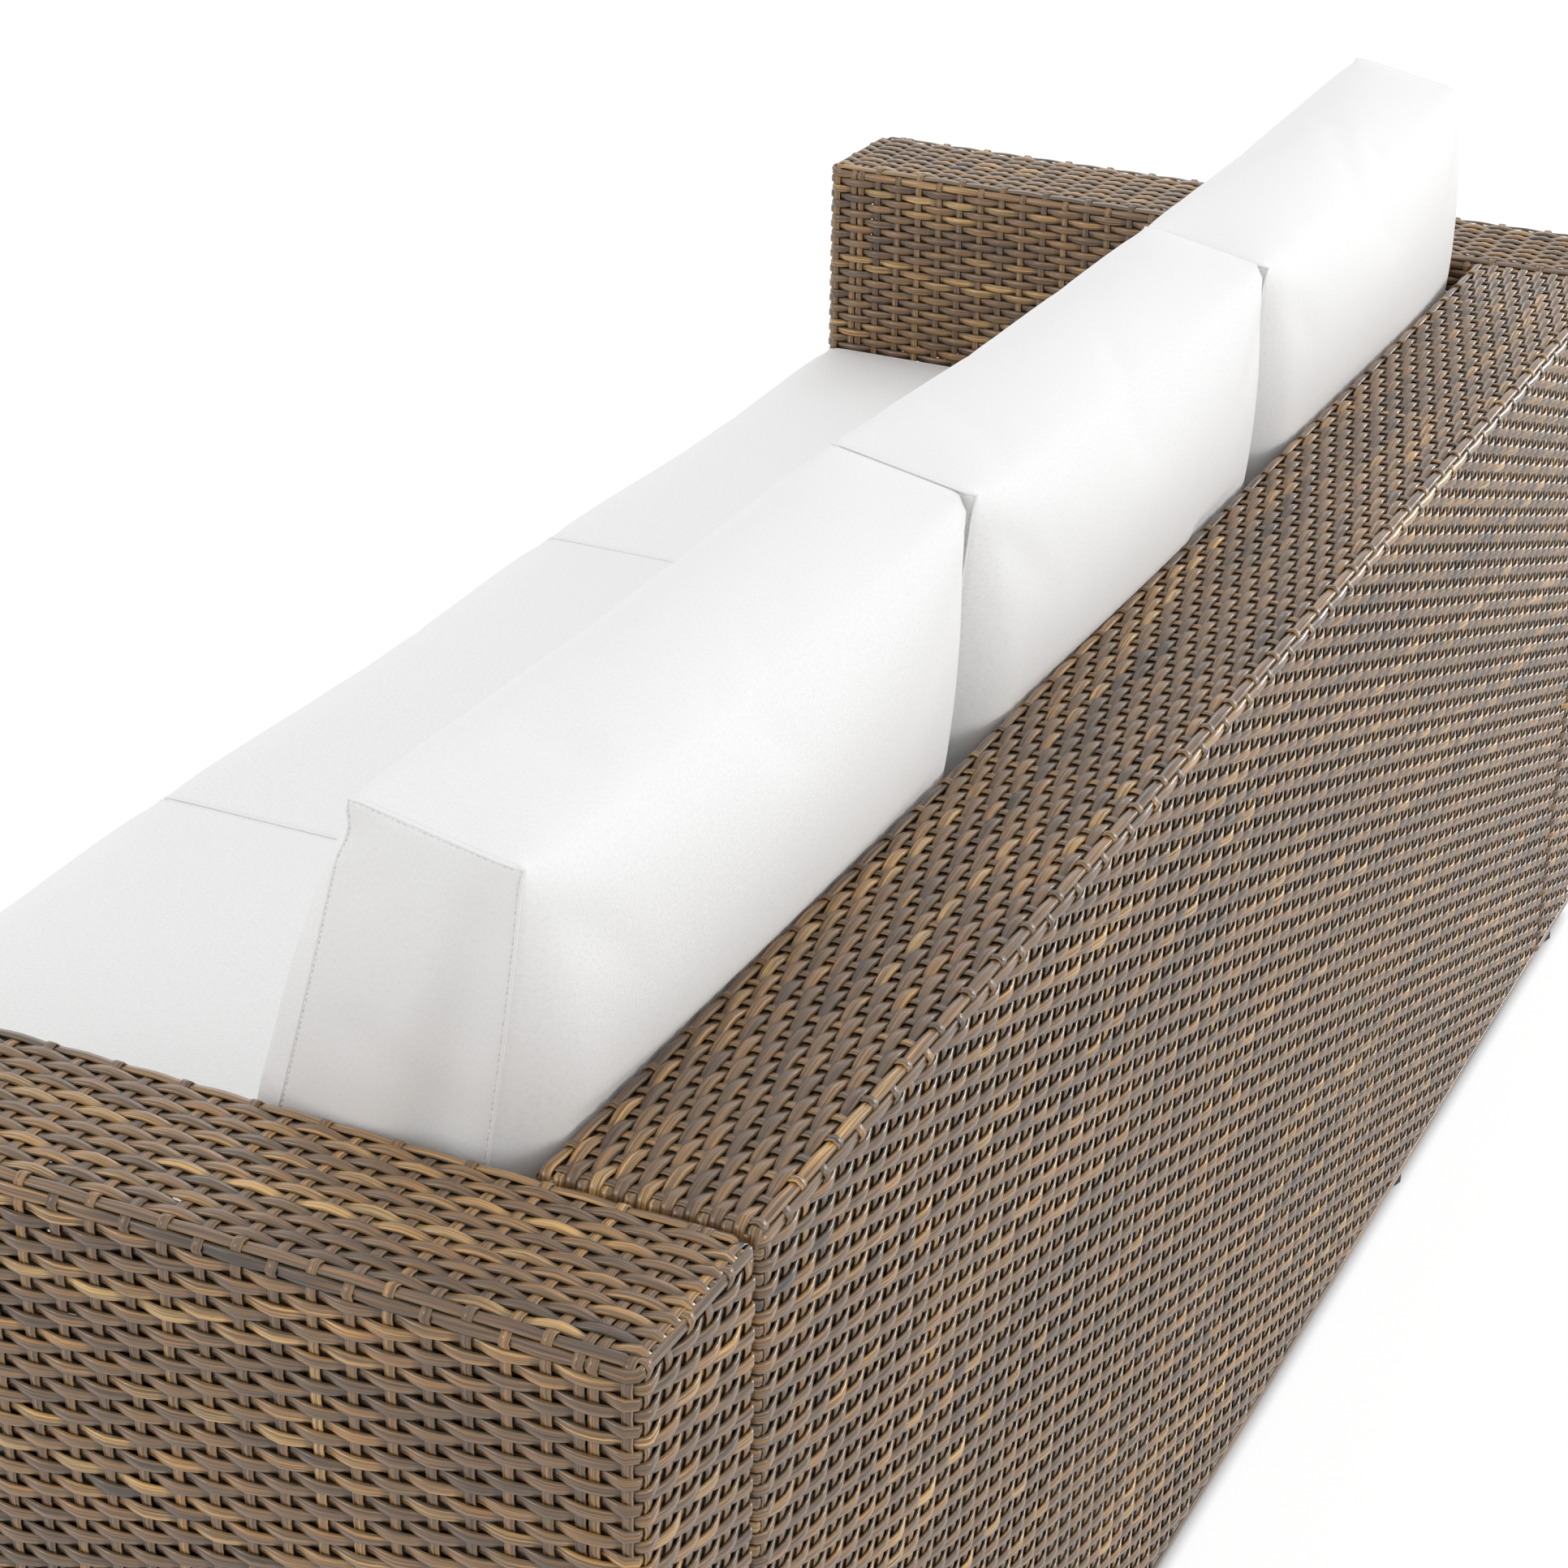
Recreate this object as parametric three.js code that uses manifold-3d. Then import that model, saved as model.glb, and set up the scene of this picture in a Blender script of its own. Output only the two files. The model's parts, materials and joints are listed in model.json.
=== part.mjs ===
// A three-seat garden sofa: flat plastic strand woven over welded tube modules, which are
// bolted together, with three seat cushions and three back cushions laid in loose.
// Millimetres, +Z up, the front facing -Y and the sitter's left at +X. The origin is on the
// floor, under the middle of the sofa's outline.

import * as THREE from "three";
import { mergeVertices } from "three/addons/utils/BufferGeometryUtils.js";
import Module from "manifold-3d";

const wasm = await Module();
wasm.setup();

// The woven body.
const LENGTH = 1870;
const DEPTH = 735;
const ARM_TOP_HEIGHT = 660;
const UNDERSIDE_HEIGHT = 12;
const ARM_WIDTH = 120;
const BACK_DEPTH = 125;
const DECK_HEIGHT = 362;
const APRON_SETBACK = 3;
const MODULE_GAP = 1.5;
const FIT_GAP = 0.3;

// The woven skin: its thickness, the round of its edges, and the steps of a quarter round.
const WEAVE_THICKNESS = 4;
const WEAVE_EDGE_RADIUS = 8;
const EDGE_STEPS = 3;

// The frames: square steel tube, and how many posts or bearers stand in a row.
const TUBE_SIZE = 20;
const TUBE_WALL = 1.2;
const ARM_POST_COUNT = 3;
const BACK_POST_COUNT = 5;
const BEARER_COUNT = 7;
const LEG_EVERY = 2;
const DRAIN_RADIUS = 3;

// The push-in feet.
const FOOT_RADIUS = 13;
const FOOT_PAD_HEIGHT = 7;
const FOOT_CHAMFER_WIDTH = 2;
const FOOT_NECK_RADIUS = 8;
const FOOT_STEM_RADIUS = 4;
const FOOT_STEM_REACH = 9;

// The bolts that join the modules.
const BOLT_RADIUS = 3;
const BOLT_HEAD_RADIUS = 6;
const BOLT_HEAD_HEIGHT = 3.5;
const BOLT_HEAD_ROUND_RADIUS = 1.2;
const BOLT_REACH = 9;
const SIDE_BOLT_INSET = 95;
const BACK_BOLT_INSET = 90;

// The cushions.
const SEAT_COUNT = 3;
const CUSHION_GAP = 4;
const SEAT_CUSHION_THICKNESS = 122;
const SEAT_CROWN_HEIGHT = 18;
const SEAM_DRAW_DEPTH = 7;
const BOXING_BULGE_DEPTH = 6;
const BACK_CUSHION_REAR_HEIGHT = 335;
const BACK_CUSHION_FRONT_HEIGHT = 353;
const BACK_CUSHION_FOOT_THICKNESS = 140;
const BACK_CUSHION_HEAD_THICKNESS = 94;
const BACK_CUSHION_LEAN_DEPTH = 50;
const BACK_FRONT_CROWN_DEPTH = 30;
const BACK_REAR_CROWN_DEPTH = 27;
const HEAD_CROWN_HEIGHT = 5;
const CROWN_FULLNESS_SHARE = 0.75;
const CUSHION_CELLS = { across: 12, along: 12, thick: 3 };
const PRESSED_CELLS = 3;

// Facets round a foot and a bolt.
const FOOT_SIDES = 12;
const BOLT_SIDES = 10;

const FINISHES = {
  weave: { color: "#8b7355", roughness: 0.55, metalness: 0 },
  tube: { color: "#4b4540", roughness: 0.5, metalness: 0.4 },
  foot: { color: "#1f1f20", roughness: 0.7, metalness: 0 },
  bolt: { color: "#b5b5b2", roughness: 0.35, metalness: 1 },
  cushion: { color: "#f4f4f3", roughness: 0.9, metalness: 0 },
};

// Places that several pieces share.
const FRONT = -DEPTH / 2;
const REAR = DEPTH / 2;
const INNER_HALF = LENGTH / 2 - ARM_WIDTH;
const BACK_FACE = REAR - BACK_DEPTH;
const SKIN_TO_TUBE = WEAVE_THICKNESS + FIT_GAP;
const HEM_WIDTH = SKIN_TO_TUBE + TUBE_SIZE;
const HALF_TUBE = TUBE_SIZE / 2;
const SEAT_RAIL_HEIGHT = DECK_HEIGHT - SKIN_TO_TUBE - HALF_TUBE;
const SEAT_TOP = DECK_HEIGHT + FIT_GAP + SEAT_CUSHION_THICKNESS;

const mix = THREE.MathUtils.lerp;

// Evenly spaced places from first to last, ends included.
function spaced(count, first, last) {
  return Array.from({ length: count }, (_, i) => mix(first, last, i / (count - 1)));
}

// A closed geometry as a solid that can be joined and cut.
function solidOf(geometry) {
  const bare = geometry.clone();
  bare.deleteAttribute("normal");
  bare.deleteAttribute("uv");
  const merged = mergeVertices(bare);
  return new wasm.Manifold(
    new wasm.Mesh({
      numProp: 3,
      vertProperties: merged.attributes.position.array,
      triVerts: new Uint32Array(merged.index.array),
    }),
  );
}

// A solid as a geometry again.
function geometryOf(solid) {
  const mesh = solid.getMesh();
  const geometry = new THREE.BufferGeometry();
  geometry.setAttribute("position", new THREE.BufferAttribute(mesh.vertProperties, mesh.numProp));
  geometry.setIndex(new THREE.BufferAttribute(mesh.triVerts, 1));
  return geometry;
}

const join = (solids) => solids.reduce((whole, next) => whole.add(next));
const cut = (solid, tools) => tools.reduce((left, tool) => left.subtract(tool), solid);

const middle = ([low, high]) => (low + high) / 2;
const length = ([low, high]) => high - low;

// A plain block that fills a space, given as low and high ends along x, y and z.
function block(space) {
  const shape = new THREE.BoxGeometry(length(space.x), length(space.y), length(space.z));
  shape.translate(middle(space.x), middle(space.y), middle(space.z));
  return solidOf(shape);
}

// The same space, smaller by a margin on every side.
function inset(space, margin) {
  const shrink = ([low, high]) => [low + margin, high - margin];
  return { x: shrink(space.x), y: shrink(space.y), z: shrink(space.z) };
}

// A rounded rectangle about the origin.
function roundedOutline(width, height, radius) {
  const w = width / 2;
  const h = height / 2;
  const outline = new THREE.Shape();
  outline.moveTo(w, radius - h);
  outline.lineTo(w, h - radius);
  outline.absarc(w - radius, h - radius, radius, 0, Math.PI / 2, false);
  outline.absarc(radius - w, h - radius, radius, Math.PI / 2, Math.PI, false);
  outline.absarc(radius - w, radius - h, radius, Math.PI, Math.PI * 1.5, false);
  outline.absarc(w - radius, radius - h, radius, Math.PI * 1.5, Math.PI * 2, false);
  return outline;
}

// A prism of a rounded rectangle, centred, standing along Z.
function roundedPrism(width, height, run, radius) {
  const prism = new THREE.ExtrudeGeometry(roundedOutline(width, height, radius), {
    depth: run,
    bevelEnabled: false,
    curveSegments: EDGE_STEPS,
  });
  return prism.translate(0, 0, -run / 2);
}

// A block with every edge rounded: what three rounded prisms, one along each axis, share.
function roundedBlock(space, radius) {
  const [x, y, z] = [length(space.x), length(space.y), length(space.z)];
  const upright = roundedPrism(x, y, z, radius);
  const lengthwise = roundedPrism(z, y, x, radius).rotateY(Math.PI / 2);
  const crosswise = roundedPrism(x, z, y, radius).rotateX(Math.PI / 2);
  const [a, b, c] = [upright, lengthwise, crosswise].map((prism) =>
    solidOf(prism.translate(middle(space.x), middle(space.y), middle(space.z))),
  );
  return a.intersect(b).intersect(c);
}

// A round rod about a line along one axis, from one end to the other.
function rod(axis, ends, at, radius, sides) {
  const shape = new THREE.CylinderGeometry(radius, radius, length(ends), sides);
  if (axis === "x") shape.rotateZ(Math.PI / 2);
  if (axis === "z") shape.rotateX(Math.PI / 2);
  const centre = { ...at, [axis]: middle(ends) };
  return solidOf(shape.translate(centre.x, centre.y, centre.z));
}

// One length of square tube, as its outside and its bore. The ends lie flush in the run.
function tube(axis, run, at) {
  const across = (size) =>
    Object.fromEntries(
      Object.entries(at).map(([key, centre]) => [key, [centre - size / 2, centre + size / 2]]),
    );
  const bore = [run[0] + TUBE_WALL, run[1] - TUBE_WALL];
  return {
    outside: { ...across(TUBE_SIZE), [axis]: run },
    bore: { ...across(TUBE_SIZE - 2 * TUBE_WALL), [axis]: bore },
  };
}

// Tubes welded into one frame, whose bores run into each other, with holes through the walls.
function weldment(tubes, holes) {
  const shell = join(tubes.map((one) => block(one.outside)));
  const bores = join(tubes.map((one) => block(one.bore)));
  return cut(shell.subtract(bores), holes);
}

// The centre lines of tubes that lie just inside a space.
const centreLines = ([low, high]) => [low + HALF_TUBE, high - HALF_TUBE];

// The low and high x of a span that is given outwards from the middle, on one side.
const sideSpan = (side, near, far) => (side > 0 ? [near, far] : [-far, -near]);

function piece(name, geometry, finish) {
  const mesh = new THREE.Mesh(geometry, new THREE.MeshStandardMaterial(FINISHES[finish]));
  mesh.name = name;
  mesh.geometry.computeVertexNormals();
  return mesh;
}

const SEAT_SPACE = {
  x: [FIT_GAP - INNER_HALF, INNER_HALF - FIT_GAP],
  y: [FRONT + APRON_SETBACK, BACK_FACE - FIT_GAP],
  z: [UNDERSIDE_HEIGHT, DECK_HEIGHT],
};
const BEARERS = spaced(BEARER_COUNT, SEAT_SPACE.x[0] + HALF_TUBE, SEAT_SPACE.x[1] - HALF_TUBE);
const REAR_BOLTS = [1, BEARER_COUNT - 3].map((i) => (BEARERS[i] + BEARERS[i + 1]) / 2);

// Bolt places. The side bolts hold the seat to the arms, the rear ones hold it to the back,
// and the back bolts hold the back's end posts to the arms.
const SEAT_MIDDLE = (FRONT + BACK_FACE) / 2;
const BACK_POST_MIDDLE = REAR - SKIN_TO_TUBE - HALF_TUBE;
const SIDE_BOLTS = [FRONT + SIDE_BOLT_INSET, BACK_FACE - SIDE_BOLT_INSET];
const BACK_BOLTS = [
  UNDERSIDE_HEIGHT + HEM_WIDTH + BACK_BOLT_INSET,
  ARM_TOP_HEIGHT - HEM_WIDTH - BACK_BOLT_INSET,
];
const BOLT_HOLE_RADIUS = BOLT_RADIUS + FIT_GAP;
const STEM_HOLE_RADIUS = FOOT_STEM_RADIUS + FIT_GAP;

// Holes through the arm's inner face for the bolts of one side.
function armBoltHoles(side, ends) {
  const run = sideSpan(side, ends[0], ends[1]);
  const hole = (y, z) => rod("x", run, { y, z }, BOLT_HOLE_RADIUS, BOLT_SIDES);
  return [
    ...SIDE_BOLTS.map((y) => hole(y, SEAT_RAIL_HEIGHT)),
    ...BACK_BOLTS.map((z) => hole(BACK_POST_MIDDLE, z)),
  ];
}

// A hole for a foot's stem, from under the woven hem into the tube above it.
function stemHole(x, y) {
  const run = [UNDERSIDE_HEIGHT - WEAVE_THICKNESS, UNDERSIDE_HEIGHT + SKIN_TO_TUBE + HALF_TUBE];
  return rod("z", run, { x, y }, STEM_HOLE_RADIUS, FOOT_SIDES);
}

// A drain hole in the lower wall of a bottom rail.
function drainHole(x, y) {
  const low = UNDERSIDE_HEIGHT + SKIN_TO_TUBE;
  return rod("z", [low - TUBE_WALL, low + HALF_TUBE], { x, y }, DRAIN_RADIUS, FOOT_SIDES);
}

const WOVEN_HEIGHT = [UNDERSIDE_HEIGHT, ARM_TOP_HEIGHT];

function armSpace(side) {
  return { x: sideSpan(side, INNER_HALF, LENGTH / 2), y: [FRONT, REAR], z: WOVEN_HEIGHT };
}

function armFootPlaces(side) {
  const space = inset(armSpace(side), SKIN_TO_TUBE);
  return centreLines(space.y).map((y) => ({ x: middle(space.x), y }));
}

// An arm's frame: two upright ladders along the depth, tied across at every post, with one
// more rail on the inner side that takes the seat's bolts.
function armFrame(side) {
  const space = inset(armSpace(side), SKIN_TO_TUBE);
  const [xs, ys, zs] = [space.x, space.y, space.z].map(centreLines);
  const posts = spaced(ARM_POST_COUNT, ys[0], ys[1]);
  const innerX = side > 0 ? xs[0] : xs[1];
  const rails = xs.flatMap((x) => zs.map((z) => tube("y", space.y, { x, z })));
  const uprights = xs.flatMap((x) => posts.map((y) => tube("z", space.z, { x, y })));
  const ties = posts.flatMap((y) => zs.map((z) => tube("x", space.x, { y, z })));
  const seatRail = tube("y", space.y, { x: innerX, z: SEAT_RAIL_HEIGHT });
  const holeRun = [INNER_HALF, INNER_HALF + SKIN_TO_TUBE + HALF_TUBE];
  return weldment(
    [...rails, ...uprights, ...ties, seatRail],
    [
      ...armBoltHoles(side, holeRun),
      ...armFootPlaces(side).map(({ x, y }) => stemHole(x, y)),
      ...xs.map((x) => drainHole(x, middle(space.y) / 2 + SEAT_MIDDLE)),
    ],
  );
}

// An arm's woven skin: a box over the frame, turned in under its bottom rails as a hem.
function armWeave(side) {
  const space = armSpace(side);
  const under = inset(space, HEM_WIDTH);
  under.z = [UNDERSIDE_HEIGHT - WEAVE_THICKNESS, UNDERSIDE_HEIGHT + 2 * WEAVE_THICKNESS];
  const holeRun = [INNER_HALF - WEAVE_THICKNESS, INNER_HALF + 2 * WEAVE_THICKNESS];
  return cut(roundedBlock(space, WEAVE_EDGE_RADIUS), [
    block(inset(space, WEAVE_THICKNESS)),
    block(under),
    ...armBoltHoles(side, holeRun),
    ...armFootPlaces(side).map(({ x, y }) => stemHole(x, y)),
  ]);
}

const BACK_SPACE = {
  x: [MODULE_GAP - INNER_HALF, INNER_HALF - MODULE_GAP],
  y: [BACK_FACE, REAR],
  z: WOVEN_HEIGHT,
};
const BACK_POSTS = spaced(
  BACK_POST_COUNT,
  BACK_SPACE.x[0] + SKIN_TO_TUBE + HALF_TUBE,
  BACK_SPACE.x[1] - SKIN_TO_TUBE - HALF_TUBE,
);
const BACK_FOOT_PLACES = [BACK_POSTS[1], BACK_POSTS[BACK_POST_COUNT - 2]].map((x) => ({
  x,
  y: BACK_POST_MIDDLE,
}));

// Holes through the back's end posts, for the bolts to the arms.
function backEndHoles(ends) {
  return [-1, 1].flatMap((side) =>
    BACK_BOLTS.map((z) => {
      const run = sideSpan(side, ends[0], ends[1]);
      return rod("x", run, { y: BACK_POST_MIDDLE, z }, BOLT_HOLE_RADIUS, BOLT_SIDES);
    }),
  );
}

// Holes along the depth, for the bolts between the seat's rear rail and the back.
function rearHoles(ends) {
  return REAR_BOLTS.map((x) =>
    rod("y", ends, { x, z: SEAT_RAIL_HEIGHT }, BOLT_HOLE_RADIUS, BOLT_SIDES),
  );
}

// The back's frame: two ladders along the length, tied at every post, with a seat rail.
function backFrame() {
  const space = inset(BACK_SPACE, SKIN_TO_TUBE);
  const [ys, zs] = [space.y, space.z].map(centreLines);
  const rails = ys.flatMap((y) => zs.map((z) => tube("x", space.x, { y, z })));
  const uprights = ys.flatMap((y) => BACK_POSTS.map((x) => tube("z", space.z, { x, y })));
  const ties = BACK_POSTS.flatMap((x) => zs.map((z) => tube("y", space.y, { x, z })));
  const seatRail = tube("x", space.x, { y: ys[0], z: SEAT_RAIL_HEIGHT });
  return weldment(
    [...rails, ...uprights, ...ties, seatRail],
    [
      ...backEndHoles([INNER_HALF - HEM_WIDTH - TUBE_SIZE, INNER_HALF]),
      ...rearHoles([BACK_FACE, BACK_FACE + SKIN_TO_TUBE + HALF_TUBE]),
      ...BACK_FOOT_PLACES.map(({ x, y }) => stemHole(x, y)),
      ...ys.map((y) => drainHole(0, y)),
    ],
  );
}

// The back's woven skin: outer face, top and inner face in one, turned in round both ends
// and under the bottom rails. Its ends stay open between the hems.
function backWeave() {
  const under = inset(BACK_SPACE, HEM_WIDTH);
  under.z = [UNDERSIDE_HEIGHT - WEAVE_THICKNESS, UNDERSIDE_HEIGHT + 2 * WEAVE_THICKNESS];
  const through = inset(BACK_SPACE, HEM_WIDTH);
  through.x = [-LENGTH / 2, LENGTH / 2];
  return cut(roundedBlock(BACK_SPACE, WEAVE_EDGE_RADIUS), [
    block(inset(BACK_SPACE, WEAVE_THICKNESS)),
    block(under),
    block(through),
    ...backEndHoles([INNER_HALF - 2 * WEAVE_THICKNESS - MODULE_GAP, INNER_HALF]),
    ...rearHoles([BACK_FACE - WEAVE_THICKNESS, BACK_FACE + 2 * WEAVE_THICKNESS]),
    ...BACK_FOOT_PLACES.map(({ x, y }) => stemHole(x, y)),
  ]);
}

const LEGS = BEARERS.filter((_, i) => i % LEG_EVERY === 0);
const APRON_TUBE_MIDDLE = SEAT_SPACE.y[0] + SKIN_TO_TUBE + HALF_TUBE;
const SEAT_FOOT_PLACES = LEGS.slice(1, -1).map((x) => ({ x, y: APRON_TUBE_MIDDLE }));

// The seat's frame: a ring at deck height with bearers across it, and a front ladder down to
// the floor behind the apron. Its rear rail is bolted to the back.
function seatFrame() {
  const [left, right] = SEAT_SPACE.x;
  const y = [SEAT_SPACE.y[0] + SKIN_TO_TUBE, SEAT_SPACE.y[1]];
  const z = [UNDERSIDE_HEIGHT + SKIN_TO_TUBE, DECK_HEIGHT - SKIN_TO_TUBE];
  const [front, rear] = centreLines(y);
  const [bottom, top] = centreLines(z);
  const rails = [front, rear].map((at) => tube("x", [left, right], { y: at, z: top }));
  const bottomRail = tube("x", [left, right], { y: front, z: bottom });
  const bearers = BEARERS.map((x) => tube("y", y, { x, z: top }));
  const legs = LEGS.map((x) => tube("z", z, { x, y: front }));
  const sideHoles = [-1, 1].flatMap((side) =>
    SIDE_BOLTS.map((at) => {
      const run = sideSpan(side, INNER_HALF - 2 * TUBE_SIZE, INNER_HALF);
      return rod("x", run, { y: at, z: SEAT_RAIL_HEIGHT }, BOLT_HOLE_RADIUS, BOLT_SIDES);
    }),
  );
  return weldment(
    [...rails, bottomRail, ...bearers, ...legs],
    [
      ...sideHoles,
      ...rearHoles([BACK_FACE - 2 * TUBE_SIZE, BACK_FACE]),
      ...SEAT_FOOT_PLACES.map((place) => stemHole(place.x, place.y)),
      drainHole(0, APRON_TUBE_MIDDLE),
    ],
  );
}

// The profile of the apron, in depth and height: a channel with rounded front corners that
// wraps the top rail and the bottom rail.
function apronProfile() {
  const [front, hem] = [SEAT_SPACE.y[0], SEAT_SPACE.y[0] + HEM_WIDTH];
  const [low, high] = SEAT_SPACE.z;
  const [r, t] = [WEAVE_EDGE_RADIUS, WEAVE_THICKNESS];
  const profile = new THREE.Shape();
  profile.moveTo(hem, low);
  profile.lineTo(hem, low + t);
  profile.lineTo(front + t, low + t);
  profile.lineTo(front + t, high - t);
  profile.lineTo(hem, high - t);
  profile.lineTo(hem, high);
  profile.lineTo(front + r, high);
  profile.absarc(front + r, high - r, r, Math.PI / 2, Math.PI, false);
  profile.absarc(front + r, low + r, r, Math.PI, Math.PI * 1.5, false);
  return profile;
}

function apronWeave() {
  const run = length(SEAT_SPACE.x);
  const channel = new THREE.ExtrudeGeometry(apronProfile(), {
    depth: run,
    bevelEnabled: false,
    curveSegments: EDGE_STEPS,
  });
  channel.translate(0, 0, -run / 2);
  channel.applyMatrix4(
    new THREE.Matrix4().makeBasis(
      new THREE.Vector3(0, 1, 0),
      new THREE.Vector3(0, 0, 1),
      new THREE.Vector3(1, 0, 0),
    ),
  );
  return cut(
    solidOf(channel),
    SEAT_FOOT_PLACES.map(({ x, y }) => stemHole(x, y)),
  );
}

// The open-woven deck, stretched over the bearers behind the apron's upper hem.
function deckWeave() {
  return block({
    x: SEAT_SPACE.x,
    y: [SEAT_SPACE.y[0] + HEM_WIDTH + FIT_GAP, SEAT_SPACE.y[1]],
    z: [DECK_HEIGHT - WEAVE_THICKNESS, DECK_HEIGHT],
  });
}

// A foot: a chamfered pad, a neck up to the hem, and a stem through it into the rail.
function footGeometry() {
  const neckTop = UNDERSIDE_HEIGHT - FIT_GAP;
  const stemTop = UNDERSIDE_HEIGHT + SKIN_TO_TUBE + FOOT_STEM_REACH;
  const profile = [
    [0, 0],
    [FOOT_RADIUS - FOOT_CHAMFER_WIDTH, 0],
    [FOOT_RADIUS, FOOT_CHAMFER_WIDTH],
    [FOOT_RADIUS, FOOT_PAD_HEIGHT],
    [FOOT_NECK_RADIUS, neckTop],
    [FOOT_STEM_RADIUS, neckTop],
    [FOOT_STEM_RADIUS, stemTop],
    [0, stemTop],
  ].map(([r, z]) => new THREE.Vector2(r, z));
  return new THREE.LatheGeometry(profile, FOOT_SIDES).rotateX(Math.PI / 2);
}

// A button-head bolt along Z: the head sits above the origin and the shank hangs below it.
function boltGeometry(shank) {
  const profile = [
    [0, -shank],
    [BOLT_RADIUS, -shank],
    [BOLT_RADIUS, 0],
    [BOLT_HEAD_RADIUS, 0],
    [BOLT_HEAD_RADIUS, BOLT_HEAD_HEIGHT - BOLT_HEAD_ROUND_RADIUS],
    [BOLT_HEAD_RADIUS - BOLT_HEAD_ROUND_RADIUS, BOLT_HEAD_HEIGHT],
    [0, BOLT_HEAD_HEIGHT],
  ].map(([r, z]) => new THREE.Vector2(r, z));
  return new THREE.LatheGeometry(profile, BOLT_SIDES).rotateX(Math.PI / 2);
}

// The shank goes through a tube, a clearance and the skins, and ends in the next tube.
const SEAT_SHANK = TUBE_SIZE + 3 * FIT_GAP + WEAVE_THICKNESS + BOLT_REACH;
const BACK_SHANK = TUBE_SIZE + 3 * FIT_GAP + MODULE_GAP + 2 * WEAVE_THICKNESS + BOLT_REACH;

// A bolt whose head bears on a face, pointing along x or y.
function bolt(name, shank, place, turn) {
  const mesh = piece(name, boltGeometry(shank), "bolt");
  mesh.position.set(place.x, place.y, place.z);
  mesh.rotation.set(turn.x, turn.y, 0);
  return mesh;
}

const SIDES = { left: 1, right: -1 };
const ENDS = ["front", "rear"];
const LEVELS = ["lower", "upper"];

function armBolts(name, side) {
  const turn = { x: 0, y: (-side * Math.PI) / 2 };
  const seatHead = side * (SEAT_SPACE.x[1] - TUBE_SIZE - FIT_GAP);
  const backHead = side * (BACK_SPACE.x[1] - SKIN_TO_TUBE - TUBE_SIZE - FIT_GAP);
  return [
    ...SIDE_BOLTS.map((y, i) => {
      const place = { x: seatHead, y, z: SEAT_RAIL_HEIGHT };
      return bolt(`seat_bolt_${name}_${ENDS[i]}`, SEAT_SHANK, place, turn);
    }),
    ...BACK_BOLTS.map((z, i) => {
      const place = { x: backHead, y: BACK_POST_MIDDLE, z };
      return bolt(`back_bolt_${name}_${LEVELS[i]}`, BACK_SHANK, place, turn);
    }),
  ];
}

function rearBolts() {
  const y = SEAT_SPACE.y[1] - TUBE_SIZE - FIT_GAP;
  const turn = { x: Math.PI / 2, y: 0 };
  return REAR_BOLTS.map((x, i) => {
    const name = x > 0 ? "left" : "right";
    return bolt(`rear_bolt_${name}`, SEAT_SHANK, { x, y, z: SEAT_RAIL_HEIGHT }, turn);
  });
}

function feet(prefix, names, places) {
  return places.map(({ x, y }, i) => {
    const mesh = piece(`${prefix}_foot_${names[i]}`, footGeometry(), "foot");
    mesh.position.set(x, y, 0);
    return mesh;
  });
}

// How far a crown has risen at a place from -1 to 1 across it: nothing at both seams. The
// smaller its fullness, the steeper it starts.
const swell = (t) => Math.pow(Math.max(1 - t * t, 0), CROWN_FULLNESS_SHARE);

// A closed surface over a lattice. a, b and c run from -1 to 1 across the width, the depth
// and the height, and place turns them into a point.
function cushionGeometry(cells, place) {
  const positions = [];
  const corner = (k, side, u, v) => {
    const at = [0, 0, 0];
    at[k] = side;
    at[(k + 1) % 3] = u;
    at[(k + 2) % 3] = v;
    return place(...at);
  };
  for (let k = 0; k < 3; k++) {
    const columns = spaced(cells[(k + 1) % 3] + 1, -1, 1);
    const rows = spaced(cells[(k + 2) % 3] + 1, -1, 1);
    for (const side of [-1, 1]) {
      for (let i = 1; i < columns.length; i++) {
        for (let j = 1; j < rows.length; j++) {
          const [u0, u1] = side > 0 ? [columns[i - 1], columns[i]] : [columns[i], columns[i - 1]];
          const [v0, v1] = [rows[j - 1], rows[j]];
          const quad = [corner(k, side, u0, v0), corner(k, side, u1, v0)];
          quad.push(corner(k, side, u1, v1), corner(k, side, u0, v1));
          for (const n of [0, 1, 2, 0, 2, 3]) positions.push(...quad[n]);
        }
      }
    }
  }
  const soup = new THREE.BufferGeometry();
  soup.setAttribute("position", new THREE.Float32BufferAttribute(positions, 3));
  return mergeVertices(soup);
}

const SEAT_PITCH = (2 * INNER_HALF) / SEAT_COUNT;
const CUSHION_HALF = (SEAT_PITCH - CUSHION_GAP) / 2;
const SEAT_CUSHION_Y = [FRONT, BACK_FACE - FIT_GAP];

// Across a cushion: the seams draw in between the corners, and the boxing bulges again.
function acrossCushion(a, alongSeam, alongBoxing) {
  const drawn = CUSHION_HALF - SEAM_DRAW_DEPTH * swell(alongSeam);
  return a * (drawn + BOXING_BULGE_DEPTH * swell(alongBoxing) * swell(alongSeam));
}

// Where the back cushion's rear seam stands at the bottom, so that its crown just meets the
// back's inner face at the height of the woven top.
function rearSeamFoot() {
  const backing = ARM_TOP_HEIGHT - SEAT_TOP;
  const reaches = spaced(CUSHION_CELLS.along * 8, 0, backing / BACK_CUSHION_REAR_HEIGHT).map(
    (t) => BACK_CUSHION_LEAN_DEPTH * t + BACK_REAR_CROWN_DEPTH * swell(2 * t - 1),
  );
  return BACK_FACE - FIT_GAP - Math.max(...reaches);
}

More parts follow.
